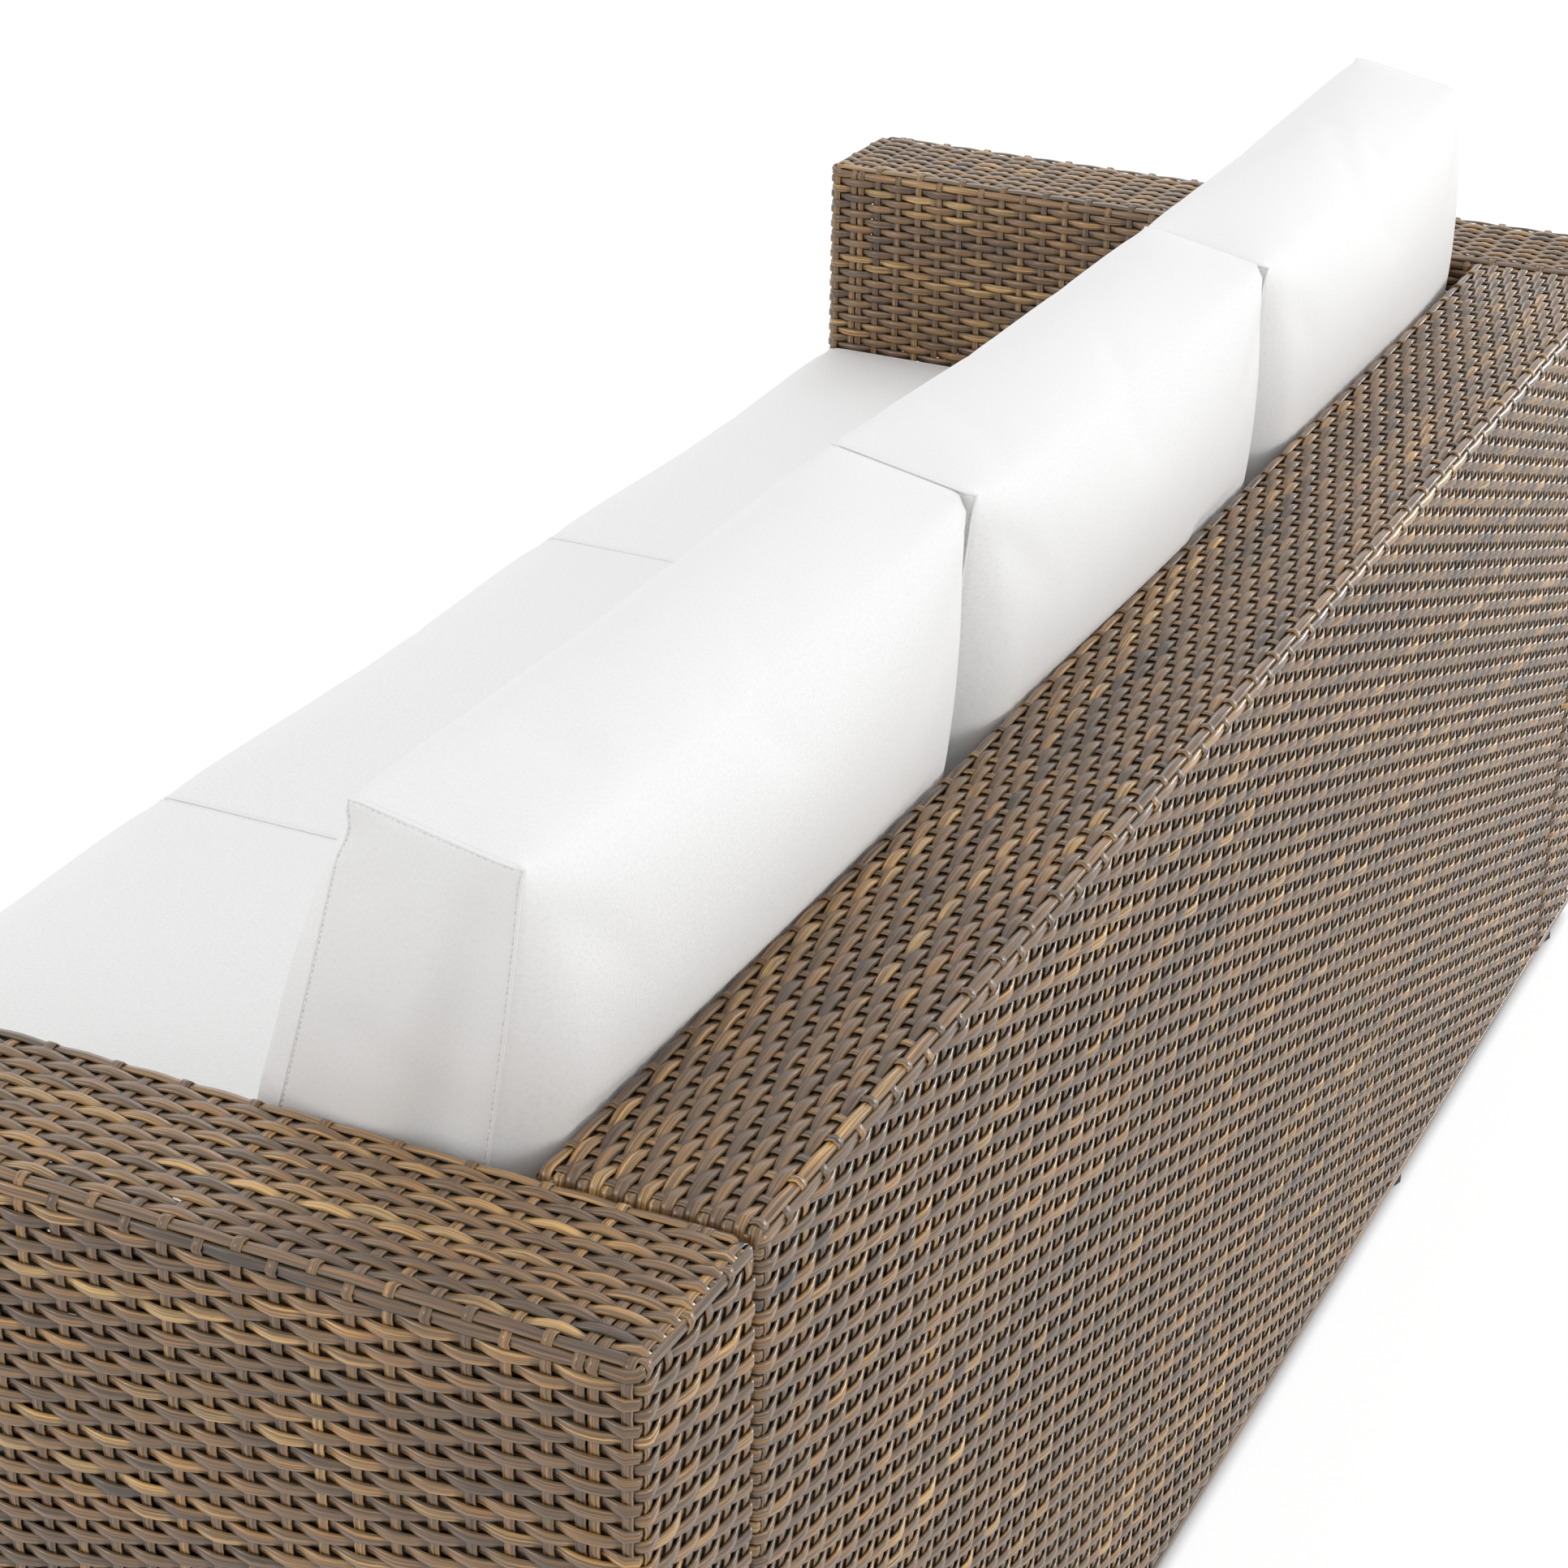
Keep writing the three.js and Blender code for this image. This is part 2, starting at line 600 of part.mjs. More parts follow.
const CROWNED_SHARE = 1 - PRESSED_CELLS / CUSHION_CELLS.along;
const REAR_SEAM_FOOT = rearSeamFoot();
const FRONT_SEAM_FOOT = REAR_SEAM_FOOT - BACK_CUSHION_FOOT_THICKNESS;

// A seat cushion: crowned in front, and pressed flat where the back cushion stands on it.
function seatCushionPoint(a, b, c) {
  const run = (b + 1) / 2;
  const open = run / CROWNED_SHARE;
  const drawn = (SEAM_DRAW_DEPTH - BOXING_BULGE_DEPTH * swell(c)) * swell(a);
  const front = SEAT_CUSHION_Y[0] + drawn;
  const rear = SEAT_CUSHION_Y[1] - drawn;
  const pressed = (run - CROWNED_SHARE) / (1 - CROWNED_SHARE);
  const y = open < 1 ? mix(front, FRONT_SEAM_FOOT, open) : mix(FRONT_SEAM_FOOT, rear, pressed);
  const crown = open < 1 ? SEAT_CROWN_HEIGHT * swell(a) * swell(2 * open - 1) : 0;
  const flat = mix(DECK_HEIGHT + FIT_GAP, SEAT_TOP, (c + 1) / 2);
  return [acrossCushion(a, b, c), y, flat + Math.max(c, 0) * crown];
}

// A back cushion: its side profile has four corners, thick at the foot and slim at the head,
// leaning back, and its front and rear panels are crowned between their seams.
function backCushionPoint(a, b, c) {
  const rise = (c + 1) / 2;
  const foot = SEAT_TOP + FIT_GAP;
  const rearHead = REAR_SEAM_FOOT + BACK_CUSHION_LEAN_DEPTH;
  const frontY = mix(FRONT_SEAM_FOOT, rearHead - BACK_CUSHION_HEAD_THICKNESS, rise);
  const rearY = mix(REAR_SEAM_FOOT, rearHead, rise);
  const frontZ = foot + BACK_CUSHION_FRONT_HEIGHT * rise;
  const rearZ = foot + BACK_CUSHION_REAR_HEIGHT * rise;
  const crown = b > 0 ? BACK_REAR_CROWN_DEPTH : BACK_FRONT_CROWN_DEPTH;
  const head = HEAD_CROWN_HEIGHT * Math.max(c, 0) * swell(a) * swell(b);
  return [
    acrossCushion(a, c, b),
    mix(frontY, rearY, (b + 1) / 2) + b * crown * swell(a) * swell(c),
    mix(frontZ, rearZ, (b + 1) / 2) + head,
  ];
}

const { across, along, thick } = CUSHION_CELLS;
const CUSHION_FORMS = {
  seat: { cells: [across, along, thick], place: seatCushionPoint },
  back: { cells: [across, thick, along], place: backCushionPoint },
};

function cushions(kind) {
  const { cells, place } = CUSHION_FORMS[kind];
  const names = ["right", "centre", "left"];
  return spaced(SEAT_COUNT, SEAT_PITCH / 2 - INNER_HALF, INNER_HALF - SEAT_PITCH / 2).map(
    (x, i) => {
      const mesh = piece(`${kind}_cushion_${names[i]}`, cushionGeometry(cells, place), "cushion");
      mesh.position.x = x;
      return mesh;
    },
  );
}

function group(...members) {
  const made = new THREE.Group();
  made.add(...members);
  return made;
}

function arm(name, side) {
  return group(
    piece(`arm_frame_${name}`, geometryOf(armFrame(side)), "tube"),
    piece(`arm_weave_${name}`, geometryOf(armWeave(side)), "weave"),
    ...feet(`arm_${name}`, ENDS, armFootPlaces(side)),
    ...armBolts(name, side),
  );
}

const back = group(
  piece("back_frame", geometryOf(backFrame()), "tube"),
  piece("back_weave", geometryOf(backWeave()), "weave"),
  ...feet("back", ["right", "left"], BACK_FOOT_PLACES),
);

const seat = group(
  piece("seat_frame", geometryOf(seatFrame()), "tube"),
  piece("apron_weave", geometryOf(apronWeave()), "weave"),
  piece("deck_weave", geometryOf(deckWeave()), "weave"),
  ...feet("seat", ["right", "left"], SEAT_FOOT_PLACES),
  ...rearBolts(),
);

const sofa = group(
  ...Object.entries(SIDES).map(([name, side]) => arm(name, side)),
  back,
  seat,
  group(...cushions("seat")),
  group(...cushions("back")),
);

export default sofa;
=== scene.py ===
"""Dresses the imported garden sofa: woven strand, tube frames, feet, bolts and cloth cushions.

Metres, +Z up, the front facing -Y and the sitter's left at +X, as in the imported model. The
horizontal strands of a weave are called weavers and the upright ones stakes.
"""

import json
import logging
import math
from collections.abc import Iterable, Mapping, Sequence
from dataclasses import dataclass, field
from enum import Enum
from typing import ClassVar

import bpy
import numpy as np
from mathutils import Matrix, Vector

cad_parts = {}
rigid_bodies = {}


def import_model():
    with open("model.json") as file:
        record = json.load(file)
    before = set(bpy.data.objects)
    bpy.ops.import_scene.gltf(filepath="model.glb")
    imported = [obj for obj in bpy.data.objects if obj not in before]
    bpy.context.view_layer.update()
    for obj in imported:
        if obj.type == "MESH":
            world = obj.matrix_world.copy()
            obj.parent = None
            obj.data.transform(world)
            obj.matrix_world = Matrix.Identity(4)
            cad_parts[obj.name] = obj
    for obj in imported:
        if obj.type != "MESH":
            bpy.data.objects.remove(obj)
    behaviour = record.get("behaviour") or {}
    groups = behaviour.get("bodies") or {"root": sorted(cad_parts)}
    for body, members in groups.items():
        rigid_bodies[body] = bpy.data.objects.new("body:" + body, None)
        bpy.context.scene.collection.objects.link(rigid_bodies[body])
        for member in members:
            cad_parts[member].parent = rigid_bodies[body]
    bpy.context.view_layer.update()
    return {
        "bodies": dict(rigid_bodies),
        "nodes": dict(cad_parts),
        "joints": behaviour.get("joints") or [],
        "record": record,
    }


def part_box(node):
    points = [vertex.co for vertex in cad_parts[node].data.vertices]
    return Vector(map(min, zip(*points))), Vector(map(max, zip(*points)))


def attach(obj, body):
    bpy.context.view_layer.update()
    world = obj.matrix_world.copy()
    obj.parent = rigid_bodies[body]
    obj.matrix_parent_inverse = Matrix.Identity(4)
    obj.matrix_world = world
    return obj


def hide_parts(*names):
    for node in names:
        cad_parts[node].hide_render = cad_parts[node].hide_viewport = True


LOG = logging.getLogger("garden_sofa")

MM = 0.001
SEED = 20

Colour = tuple[float, float, float, float]
Tree = bpy.types.NodeTree
Socket = bpy.types.NodeSocket
Values = dict[str | int, object]


def linear(code: str) -> Colour:
    """Turns an sRGB hex value to a linear colour.

    Args:
        code: Six hex digits after a hash sign.

    Returns:
        Linear red, green, blue and an alpha of 1.
    """
    parts = [int(code[i : i + 2], 16) / 255 for i in (1, 3, 5)]
    red, green, blue = (c / 12.92 if c <= 0.04045 else ((c + 0.055) / 1.055) ** 2.4 for c in parts)
    return red, green, blue, 1.0


def placed(name: str, data: bpy.types.ID) -> bpy.types.Object:
    """Adds an object with the given data to the scene."""
    obj = bpy.data.objects.new(name, data)
    bpy.context.scene.collection.objects.link(obj)
    return obj


def evaluated_mesh(obj: bpy.types.Object) -> bpy.types.Mesh:
    """A plain mesh of an object as its modifiers leave it."""
    depsgraph = bpy.context.evaluated_depsgraph_get()
    return bpy.data.meshes.new_from_object(
        obj.evaluated_get(depsgraph), preserve_all_data_layers=True, depsgraph=depsgraph
    )


def shade(level: float) -> Colour:
    """A grey of one linear level."""
    return level, level, level, 1.0


def set_inputs(tree: Tree, node: bpy.types.Node, inputs: Values) -> None:
    """Links or sets a node's inputs.

    Args:
        tree: The node's tree.
        node: The node.
        inputs: For each input by name or number, a constant, a socket to link from, or a node
            whose first output is linked from.
    """
    for name, value in inputs.items():
        source = value.outputs[0] if isinstance(value, bpy.types.Node) else value
        if isinstance(source, Socket):
            tree.links.new(source, node.inputs[name])
        else:
            node.inputs[name].default_value = source


def add_node(
    tree: Tree, kind: str, settings: Values | None = None, inputs: Values | None = None
) -> bpy.types.Node:
    """Adds a node to a tree, with its settings, its constant inputs and its links.

    Args:
        tree: The shader or geometry tree.
        kind: The node's type name.
        settings: Properties of the node itself.
        inputs: What its inputs are linked from or set to, as for set_inputs.

    Returns:
        The new node.
    """
    node = tree.nodes.new(kind)
    for name, value in (settings or {}).items():
        setattr(node, name, value)
    set_inputs(tree, node, inputs or {})
    return node


def calculate(tree: Tree, operation: str, *terms: object) -> Socket:
    """Adds one Math node on the given terms and returns its result."""
    inputs = dict(enumerate(terms))
    return add_node(tree, "ShaderNodeMath", {"operation": operation}, inputs).outputs[0]


def times(tree: Tree, first: object, second: object) -> Socket:
    """Adds a Math node that multiplies two terms and returns the product."""
    return calculate(tree, "MULTIPLY", first, second)


def combine(tree: Tree, x: object = 0.0, y: object = 0.0, z: object = 0.0) -> Socket:
    """Adds a node that makes a vector of three values and returns the vector."""
    return add_node(tree, "ShaderNodeCombineXYZ", inputs={"X": x, "Y": y, "Z": z}).outputs[0]


def separate(tree: Tree, vector: object) -> dict[str, Socket]:
    """Adds a node that takes a vector apart and returns its X, Y and Z."""
    node = add_node(tree, "ShaderNodeSeparateXYZ", inputs={"Vector": vector})
    return {socket.name: socket for socket in node.outputs}


def noise(
    tree: Tree, place: object, scale: float, detail: float = 2.0, roughness: float = 0.5
) -> bpy.types.Node:
    """Adds a noise texture on a place; its first output is its value."""
    inputs = {"Vector": place, "Scale": scale, "Detail": detail, "Roughness": roughness}
    return add_node(tree, "ShaderNodeTexNoise", inputs=inputs)


def mix(tree: Tree, blend: str, share: object, first: object, second: object) -> Socket:
    """Adds a node that blends two colours and returns the result."""
    settings = {"data_type": "RGBA", "blend_type": blend}
    return add_node(tree, "ShaderNodeMix", settings, {0: share, 6: first, 7: second}).outputs[2]


def bump(tree: Tree, height: object, strength: float, depth: float) -> bpy.types.Node:
    """Adds a bump that follows a height, its depth in metres; its first output is the normal."""
    inputs = {"Height": height, "Strength": strength, "Distance": depth}
    return add_node(tree, "ShaderNodeBump", inputs=inputs)


def new_material(name: str) -> tuple[bpy.types.Material, bpy.types.Node]:
    """Makes an empty node material with a Principled shader wired to its output.

    Args:
        name: What the finish is.

    Returns:
        The material and its Principled node.
    """
    material = bpy.data.materials.new(name)
    material.use_nodes = True
    tree = material.node_tree
    tree.nodes.clear()
    shader = add_node(tree, "ShaderNodeBsdfPrincipled")
    add_node(tree, "ShaderNodeOutputMaterial", inputs={"Surface": shader})
    return material, shader


def object_place(tree: Tree) -> Socket:
    """Adds object coordinates and returns the place that they give."""
    return add_node(tree, "ShaderNodeTexCoord").outputs["Object"]


def ramp(tree: Tree, source: object, stops: Sequence[tuple[float, Colour]]) -> Socket:
    """Adds a colour ramp.

    Args:
        tree: The material's tree.
        source: What drives the ramp.
        stops: Place and colour of each stop, in order.

    Returns:
        The ramp's colour socket.
    """
    node = add_node(tree, "ShaderNodeValToRGB", inputs={"Fac": source})
    elements = node.color_ramp.elements
    elements[0].position, elements[0].color = stops[0]
    elements[1].position, elements[1].color = stops[-1]
    for place, colour in stops[1:-1]:
        elements.new(place).color = colour
    return node.outputs["Color"]


@dataclass(frozen=True)
class Surface:
    """A finish: what its material is called and what its Principled shader is given."""

    title: ClassVar[str]

    def inputs(self, tree: Tree) -> Values:
        """Builds the finish's textures.

        Args:
            tree: The material's tree.

        Returns:
            What the Principled shader's inputs are linked from or set to.
        """
        raise NotImplementedError

    def material(self) -> bpy.types.Material:
        """Builds the material."""
        material, shader = new_material(self.title)
        set_inputs(material.node_tree, shader, self.inputs(material.node_tree))
        return material


@dataclass(frozen=True)
class WovenStrand(Surface):
    """Extruded polyethylene strand, flat and satin, its browns drawn out into long streaks.

    The colour runs along each strand in its own mix, so that no two neighbours match. A painted
    highlight lies along its edges, painted shade darkens it where it dips under, and the die
    leaves fine ridges.
    """

    title: ClassVar[str] = "Extruded polyethylene strand"
    browns: tuple[tuple[float, str], ...] = (
        (0.36, "#36281a"),
        (0.45, "#5a4026"),
        (0.56, "#745839"),
        (0.64, "#8d6838"),
        (0.72, "#b3945f"),
    )
    # The palest streak colour, which is also laid along the edges as a painted highlight.
    rim: str = "#ead9b6"
    streak_length: float = 90 * MM
    streak_width: float = 1.1 * MM
    streak_share: float = 0.4
    streak_blend: float = 0.8
    drift_length: float = 260 * MM
    drift_share: float = 0.7
    tone_spread: tuple[float, float] = (61.0, 173.0)
    half_width: float = 3.3 * MM
    # How strongly the painted highlight is laid along the edges.
    edge_highlight_share: float = 0.12
    # Painted shade where a strand dips under: the darkest level, and the level partway up.
    dip_shade: float = 0.12
    dip_half_shade: float = 0.62
    ridge_height: float = 0.12 * MM
    ridge_strength: float = 0.5
    roughness: float = 0.3
    specular: float = 0.62
    coat: float = 0.5
    coat_roughness: float = 0.3

    def inputs(self, tree: Tree) -> Values:
        """Builds the textures on the strand's own run, across, tone and height attributes."""
        run, across, tone, height = (
            add_node(tree, "ShaderNodeAttribute", {"attribute_name": name}).outputs["Fac"]
            for name in ("run", "across", "tone", "height")
        )
        place = combine(
            tree,
            times(tree, run, 1 / self.streak_length),
            times(tree, across, self.half_width / self.streak_width),
            times(tree, tone, self.tone_spread[0]),
        )
        streaks = noise(tree, place, 1.0, detail=3.0, roughness=0.65)
        drift_place = combine(
            tree,
            times(tree, run, 1 / self.drift_length),
            times(tree, tone, self.tone_spread[1]),
        )
        drift = noise(tree, drift_place, 1.0, detail=1.0)
        drifted = times(tree, drift, self.drift_share)
        mixed = calculate(tree, "ADD", drifted, times(tree, streaks, self.streak_share))
        base = ramp(tree, mixed, [(at, linear(code)) for at, code in self.browns])
        light = ramp(
            tree, streaks, [(0.32, shade(0.1)), (0.48, shade(0.42)), (0.66, linear(self.rim))]
        )
        streaked = mix(tree, "OVERLAY", self.streak_blend, base, light)
        # Painted highlight: the rim colour laid along both edges of the strand.
        from_middle = calculate(tree, "ABSOLUTE", across)
        edge_highlight = ramp(tree, from_middle, [(0.55, shade(0.0)), (0.9, shade(self.edge_highlight_share))])
        edge_highlighted = mix(tree, "MIX", edge_highlight, streaked, linear(self.rim))
        # Painted shade: the strand is darkened where it dips under another, as its height falls.
        # The height runs from -1 to 1, and the ramp from 0 to 1.
        dip_shading = ramp(
            tree,
            calculate(tree, "MULTIPLY_ADD", height, 0.5, 0.5),
            [(0.0, shade(self.dip_shade)), (0.22, shade(self.dip_half_shade)), (0.42, shade(1.0))],
        )
        return {
            "Base Color": mix(tree, "MULTIPLY", 1.0, edge_highlighted, dip_shading),
            "Normal": bump(tree, streaks, self.ridge_strength, self.ridge_height),
            "Roughness": self.roughness,
            "Specular IOR Level": self.specular,
            "Coat Weight": self.coat,
            "Coat Roughness": self.coat_roughness,
        }


@dataclass(frozen=True)
class PowderCoatedTube(Surface):
    """Powder-coated mild steel: a matt baked skin with the fine pebble of orange peel."""

    title: ClassVar[str] = "Powder-coated steel tube"
    coat: str = "#2f2a26"
    worn: str = "#3b352f"
    cloud_scale: float = 14.0
    pebble: float = 1.2 * MM
    pebble_strength: float = 0.3
    pebble_depth: float = 0.1 * MM
    roughness: float = 0.5

    def inputs(self, tree: Tree) -> Values:
        """Builds the textures on object coordinates."""
        place = object_place(tree)
        clouds = noise(tree, place, self.cloud_scale, detail=3.0)
        pebbles = noise(tree, place, 1 / self.pebble)
        return {
            "Base Color": ramp(tree, clouds, [(0.35, linear(self.coat)), (0.7, linear(self.worn))]),
            "Normal": bump(tree, pebbles, self.pebble_strength, self.pebble_depth),
            "Roughness": self.roughness,
        }


@dataclass(frozen=True)
class MouldedPolyethylene(Surface):
    """Moulded polyethylene: near-black, waxy and spark-textured, scuffed pale where it stands."""

    title: ClassVar[str] = "Moulded polyethylene foot"
    body: str = "#1f1f20"
    scuff: str = "#3a3936"
    scuff_height: float = 4 * MM
    texture: float = 0.8 * MM
    grain_strength: float = 0.4
    grain_depth: float = 0.1 * MM
    roughness: float = 0.62

    def inputs(self, tree: Tree) -> Values:
        """Builds the textures on object coordinates."""
        place = object_place(tree)
        share = calculate(tree, "DIVIDE", separate(tree, place)["Z"], self.scuff_height)
        grain = noise(tree, place, 1 / self.texture)
        worn = times(tree, calculate(tree, "SUBTRACT", 1.0, share), grain)
        return {
            "Base Color": ramp(tree, worn, [(0.1, linear(self.body)), (0.7, linear(self.scuff))]),
            "Normal": bump(tree, grain, self.grain_strength, self.grain_depth),
            "Roughness": self.roughness,
        }


@dataclass(frozen=True)
class ZincPlatedSteel(Surface):
    """Bright zinc plating on steel: a metal with a soft spangle and hazy gloss."""

    title: ClassVar[str] = "Zinc-plated steel bolt"
    zinc: str = "#b9bab6"
    haze: str = "#9fa19f"
    spangle: float = 2.5 * MM
    gloss: tuple[float, float] = (0.28, 0.42)

    def inputs(self, tree: Tree) -> Values:
        """Builds the textures on object coordinates."""
        cells = add_node(
            tree,
            "ShaderNodeTexVoronoi",
            inputs={"Vector": object_place(tree), "Scale": 1 / self.spangle},
        ).outputs["Distance"]
        middle, between = self.gloss
        return {
            "Base Color": ramp(tree, cells, [(0.1, linear(self.zinc)), (0.8, linear(self.haze))]),
            "Roughness": ramp(tree, cells, [(0.1, shade(middle)), (0.8, shade(between))]),
            "Metallic": 1.0,
        }


@dataclass(frozen=True)
class OutdoorCloth(Surface):
    """Solution-dyed outdoor cloth: matt white in a close plain weave, with faint slubs.

    Real threads stand 0.5 mm apart. They are drawn at 1.4 mm so that the weave still shows.
    """

    title: ClassVar[str] = "White outdoor cloth"
    white: str = "#f0f0f0"
    shaded: str = "#ebebeb"
    thread: float = 1.4 * MM
    slub_scale: float = 400.0
    slub_share: float = 0.3
    relief: float = 0.16 * MM
    relief_strength: float = 0.35
    roughness: float = 0.85
    specular: float = 0.2
    sheen: float = 0.1
    sheen_roughness: float = 0.5

    def inputs(self, tree: Tree) -> Values:
        """Builds the textures on each panel's own cloth coordinates, in metres."""
        place = add_node(tree, "ShaderNodeUVMap", {"uv_map": "cloth"})
        axes = separate(tree, place)
        turns = 2 * math.pi / self.thread
        warp, weft = (calculate(tree, "SINE", times(tree, axes[axis], turns)) for axis in "XY")
        slubs = noise(tree, place, self.slub_scale)
        raised = times(tree, slubs, self.slub_share)
        height = calculate(tree, "ADD", times(tree, warp, weft), raised)
        stops = [(0.3, linear(self.shaded)), (0.6, linear(self.white))]
        return {
            "Base Color": ramp(tree, slubs, stops),
            "Normal": bump(tree, height, self.relief_strength, self.relief),
            "Roughness": self.roughness,
            "Specular IOR Level": self.specular,
            "Sheen Weight": self.sheen,
            "Sheen Roughness": self.sheen_roughness,
        }


@dataclass(frozen=True)
class SewingThread(Surface):
    """Bonded polyester thread: tightly twisted, so a row of stitches glints a little."""

    title: ClassVar[str] = "Bonded polyester thread"
    thread: str = "#f4f4f2"
    furrow: str = "#dededb"
    twist_scale: float = 1 / (18 * MM)
    distortion: float = 1.0
    roughness: float = 0.5

    def inputs(self, tree: Tree) -> Values:
        """Builds the textures on object coordinates."""
        place = object_place(tree)
        bands = add_node(
            tree,
            "ShaderNodeTexWave",
            {"bands_direction": "DIAGONAL"},
            {"Vector": place, "Scale": self.twist_scale, "Distortion": self.distortion},
        )
        stops = [(0.2, linear(self.furrow)), (0.8, linear(self.thread))]
        return {"Base Color": ramp(tree, bands, stops), "Roughness": self.roughness}


class Finish(Enum):
    """The finishes of the sofa, each made once."""

    STRAND = WovenStrand()
    TUBE = PowderCoatedTube()
    FOOT = MouldedPolyethylene()
    BOLT = ZincPlatedSteel()
    CLOTH = OutdoorCloth()
    THREAD = SewingThread()


class Paints:
    """Makes each finish's material the first time that it is asked for."""

    def __init__(self) -> None:
        """Starts with no material made."""
        self._made: dict[Finish, bpy.types.Material] = {}

    def __getitem__(self, finish: Finish) -> bpy.types.Material:
        """The material of a finish."""
        if finish not in self._made:
            self._made[finish] = finish.value.material()
        return self._made[finish]


class Plane(Enum):
    """The plane that a strand's route lies in; the value is its two axes and the one across."""

    XY = (0, 1, 2)
    XZ = (0, 2, 1)
    YZ = (1, 2, 0)


class Route:
    """A line of straight runs with rounded corners, measured along its length."""

    ARC_STEPS = 6

    def __init__(
        self, corners: Sequence[tuple[float, float]], radius: float, outside: int = 1
    ) -> None:
        """Lays the route.

        Args:
            corners: The start, each right-angled corner and the end, in the route's plane.
            radius: The round of every corner.
            outside: 1 where outwards is on the left of its direction, and -1 on the right.
        """
        self.outside = outside
        points = [np.array(c, float) for c in corners]
        laid, outward, self.bends = [points[0]], [self._out(points[1] - points[0])], []
        for before, corner, after in zip(points, points[1:], points[2:]):
            came = (corner - before) / np.linalg.norm(corner - before)
            goes = (after - corner) / np.linalg.norm(after - corner)
            start, end = corner - came * radius, corner + goes * radius
            left, right = self._out(came), self._out(goes)
            first = len(laid)
            centre = start + goes * radius
            for step in range(self.ARC_STEPS + 1):
                angle = step / self.ARC_STEPS * math.pi / 2
                cosine, sine = math.cos(angle), math.sin(angle)
                laid.append(centre - goes * radius * cosine + came * radius * sine)
                mixed = left * cosine + right * sine
                outward.append(mixed / np.linalg.norm(mixed))
            self.bends.append((first, len(laid) - 1))
            assert np.allclose(laid[-1], end)
        laid.append(points[-1])
        outward.append(self._out(points[-1] - points[-2]))
        self.points, self.outward = np.array(laid), np.array(outward)
        steps = np.linalg.norm(np.diff(self.points, axis=0), axis=1)
        self.lengths = np.concatenate([[0.0], np.cumsum(steps)])

    def _out(self, direction: np.ndarray) -> np.ndarray:
        """The unit vector outwards from a direction."""
        turned = np.array([-direction[1], direction[0]]) * self.outside
        return turned / np.linalg.norm(turned)

    @property
    def length(self) -> float:
        """The route's whole length."""
        return float(self.lengths[-1])

    def bend_marks(self) -> np.ndarray:
        """The start, middle and end of each corner, as lengths along the route."""
        ends = self.lengths[np.array(self.bends, int).reshape(-1, 2)]
        return np.insert(ends, 1, ends.mean(1), axis=1).ravel()

    def at(self, lengths: np.ndarray) -> tuple[np.ndarray, np.ndarray]:
        """Points and outward directions at lengths along the route.

        Args:
            lengths: The lengths asked for.

        Returns:
            Two arrays of two columns.
        """
        points = np.stack([np.interp(lengths, self.lengths, self.points[:, k]) for k in (0, 1)], 1)
        out = np.stack([np.interp(lengths, self.lengths, self.outward[:, k]) for k in (0, 1)], 1)
        return points, out / np.linalg.norm(out, axis=1, keepdims=True)

    def nearest(self, point: tuple[float, float], after: float = -1.0) -> float:
        """Finds a point on the route.

        Args:
            point: A point on or beside one of its runs.
            after: The length past which it is looked for.

        Returns:
            The length along the route that is nearest to the point.
        """
        starts, runs = self.points[:-1], np.diff(self.points, axis=0)
        squares = np.maximum((runs**2).sum(1), 1e-12)
        shares = np.clip(((np.array(point) - starts) * runs).sum(1) / squares, 0, 1)
        at = self.lengths[:-1] + shares * np.sqrt(squares)
        distances = np.linalg.norm(starts + runs * shares[:, None] - np.array(point), axis=1)
        distances[at <= after + 1e-6] = math.inf
        return float(at[np.argmin(distances)])


@dataclass(frozen=True)
class StrandSection:
    """A flat strand's cross-section and how far it waves in and out of the weave.

    Attributes:
        half_width: Half of its width.
        rise: How far its crown stands over its edges.
        wave: How far it moves out of the weave's middle where it passes over.
        back_share: How far its back stands, as a share of the rise.
        groove: How far the middle of its crown is sunk.
        sides: Points round the section.
        turn: How far the section's first point is turned, in degrees.
        swell: How much wider it is where it passes over than where it passes under.
        cells: Steps between two crossings.
    """

    half_width: float
    rise: float
    wave: float
    back_share: float = 0.35
    groove: float = 0.0
    sides: int = 5
    turn: float = 36.0
    swell: float = 0.12
    cells: int = 3


WEAVER = StrandSection(half_width=3.65 * MM, rise=1.6 * MM, wave=2.1 * MM, swell=0.09)
TOP_WEAVER = StrandSection(half_width=3.65 * MM, rise=1.6 * MM, wave=1.5 * MM, swell=0.09)
PLAIN_WEAVER = StrandSection(
    half_width=3.8 * MM, rise=1.5 * MM, wave=1.5 * MM, sides=4, turn=0.0, cells=2
)
STAKE = StrandSection(
    half_width=3.2 * MM,
    rise=1.4 * MM,
    wave=0.55 * MM,
    groove=0.5 * MM,
    sides=6,
    turn=0.0,
    swell=0.0,
    cells=1,
)
DECK_WEAVER = StrandSection(
    half_width=3.6 * MM, rise=1.3 * MM, wave=1.2 * MM, sides=4, turn=0.0, cells=2
)
SEAM = StrandSection(
    half_width=1.1 * MM, rise=1.0 * MM, wave=1.0 * MM, back_share=1.0, sides=6, turn=0.0
)
# Points of the unit circle higher than this make up the middle of a crown.
CROWN_MIDDLE = 0.9


@dataclass(frozen=True)
class Crossing:
    """Where a strand crosses another: the length along its route and its height there.

    A height of 1 is over the other strand by the section's wave, and -1 is under it. The
    strand may also be shifted aside there, in metres, out of its route's plane.
    """

    at: float
    height: float
    aside: float = 0.0


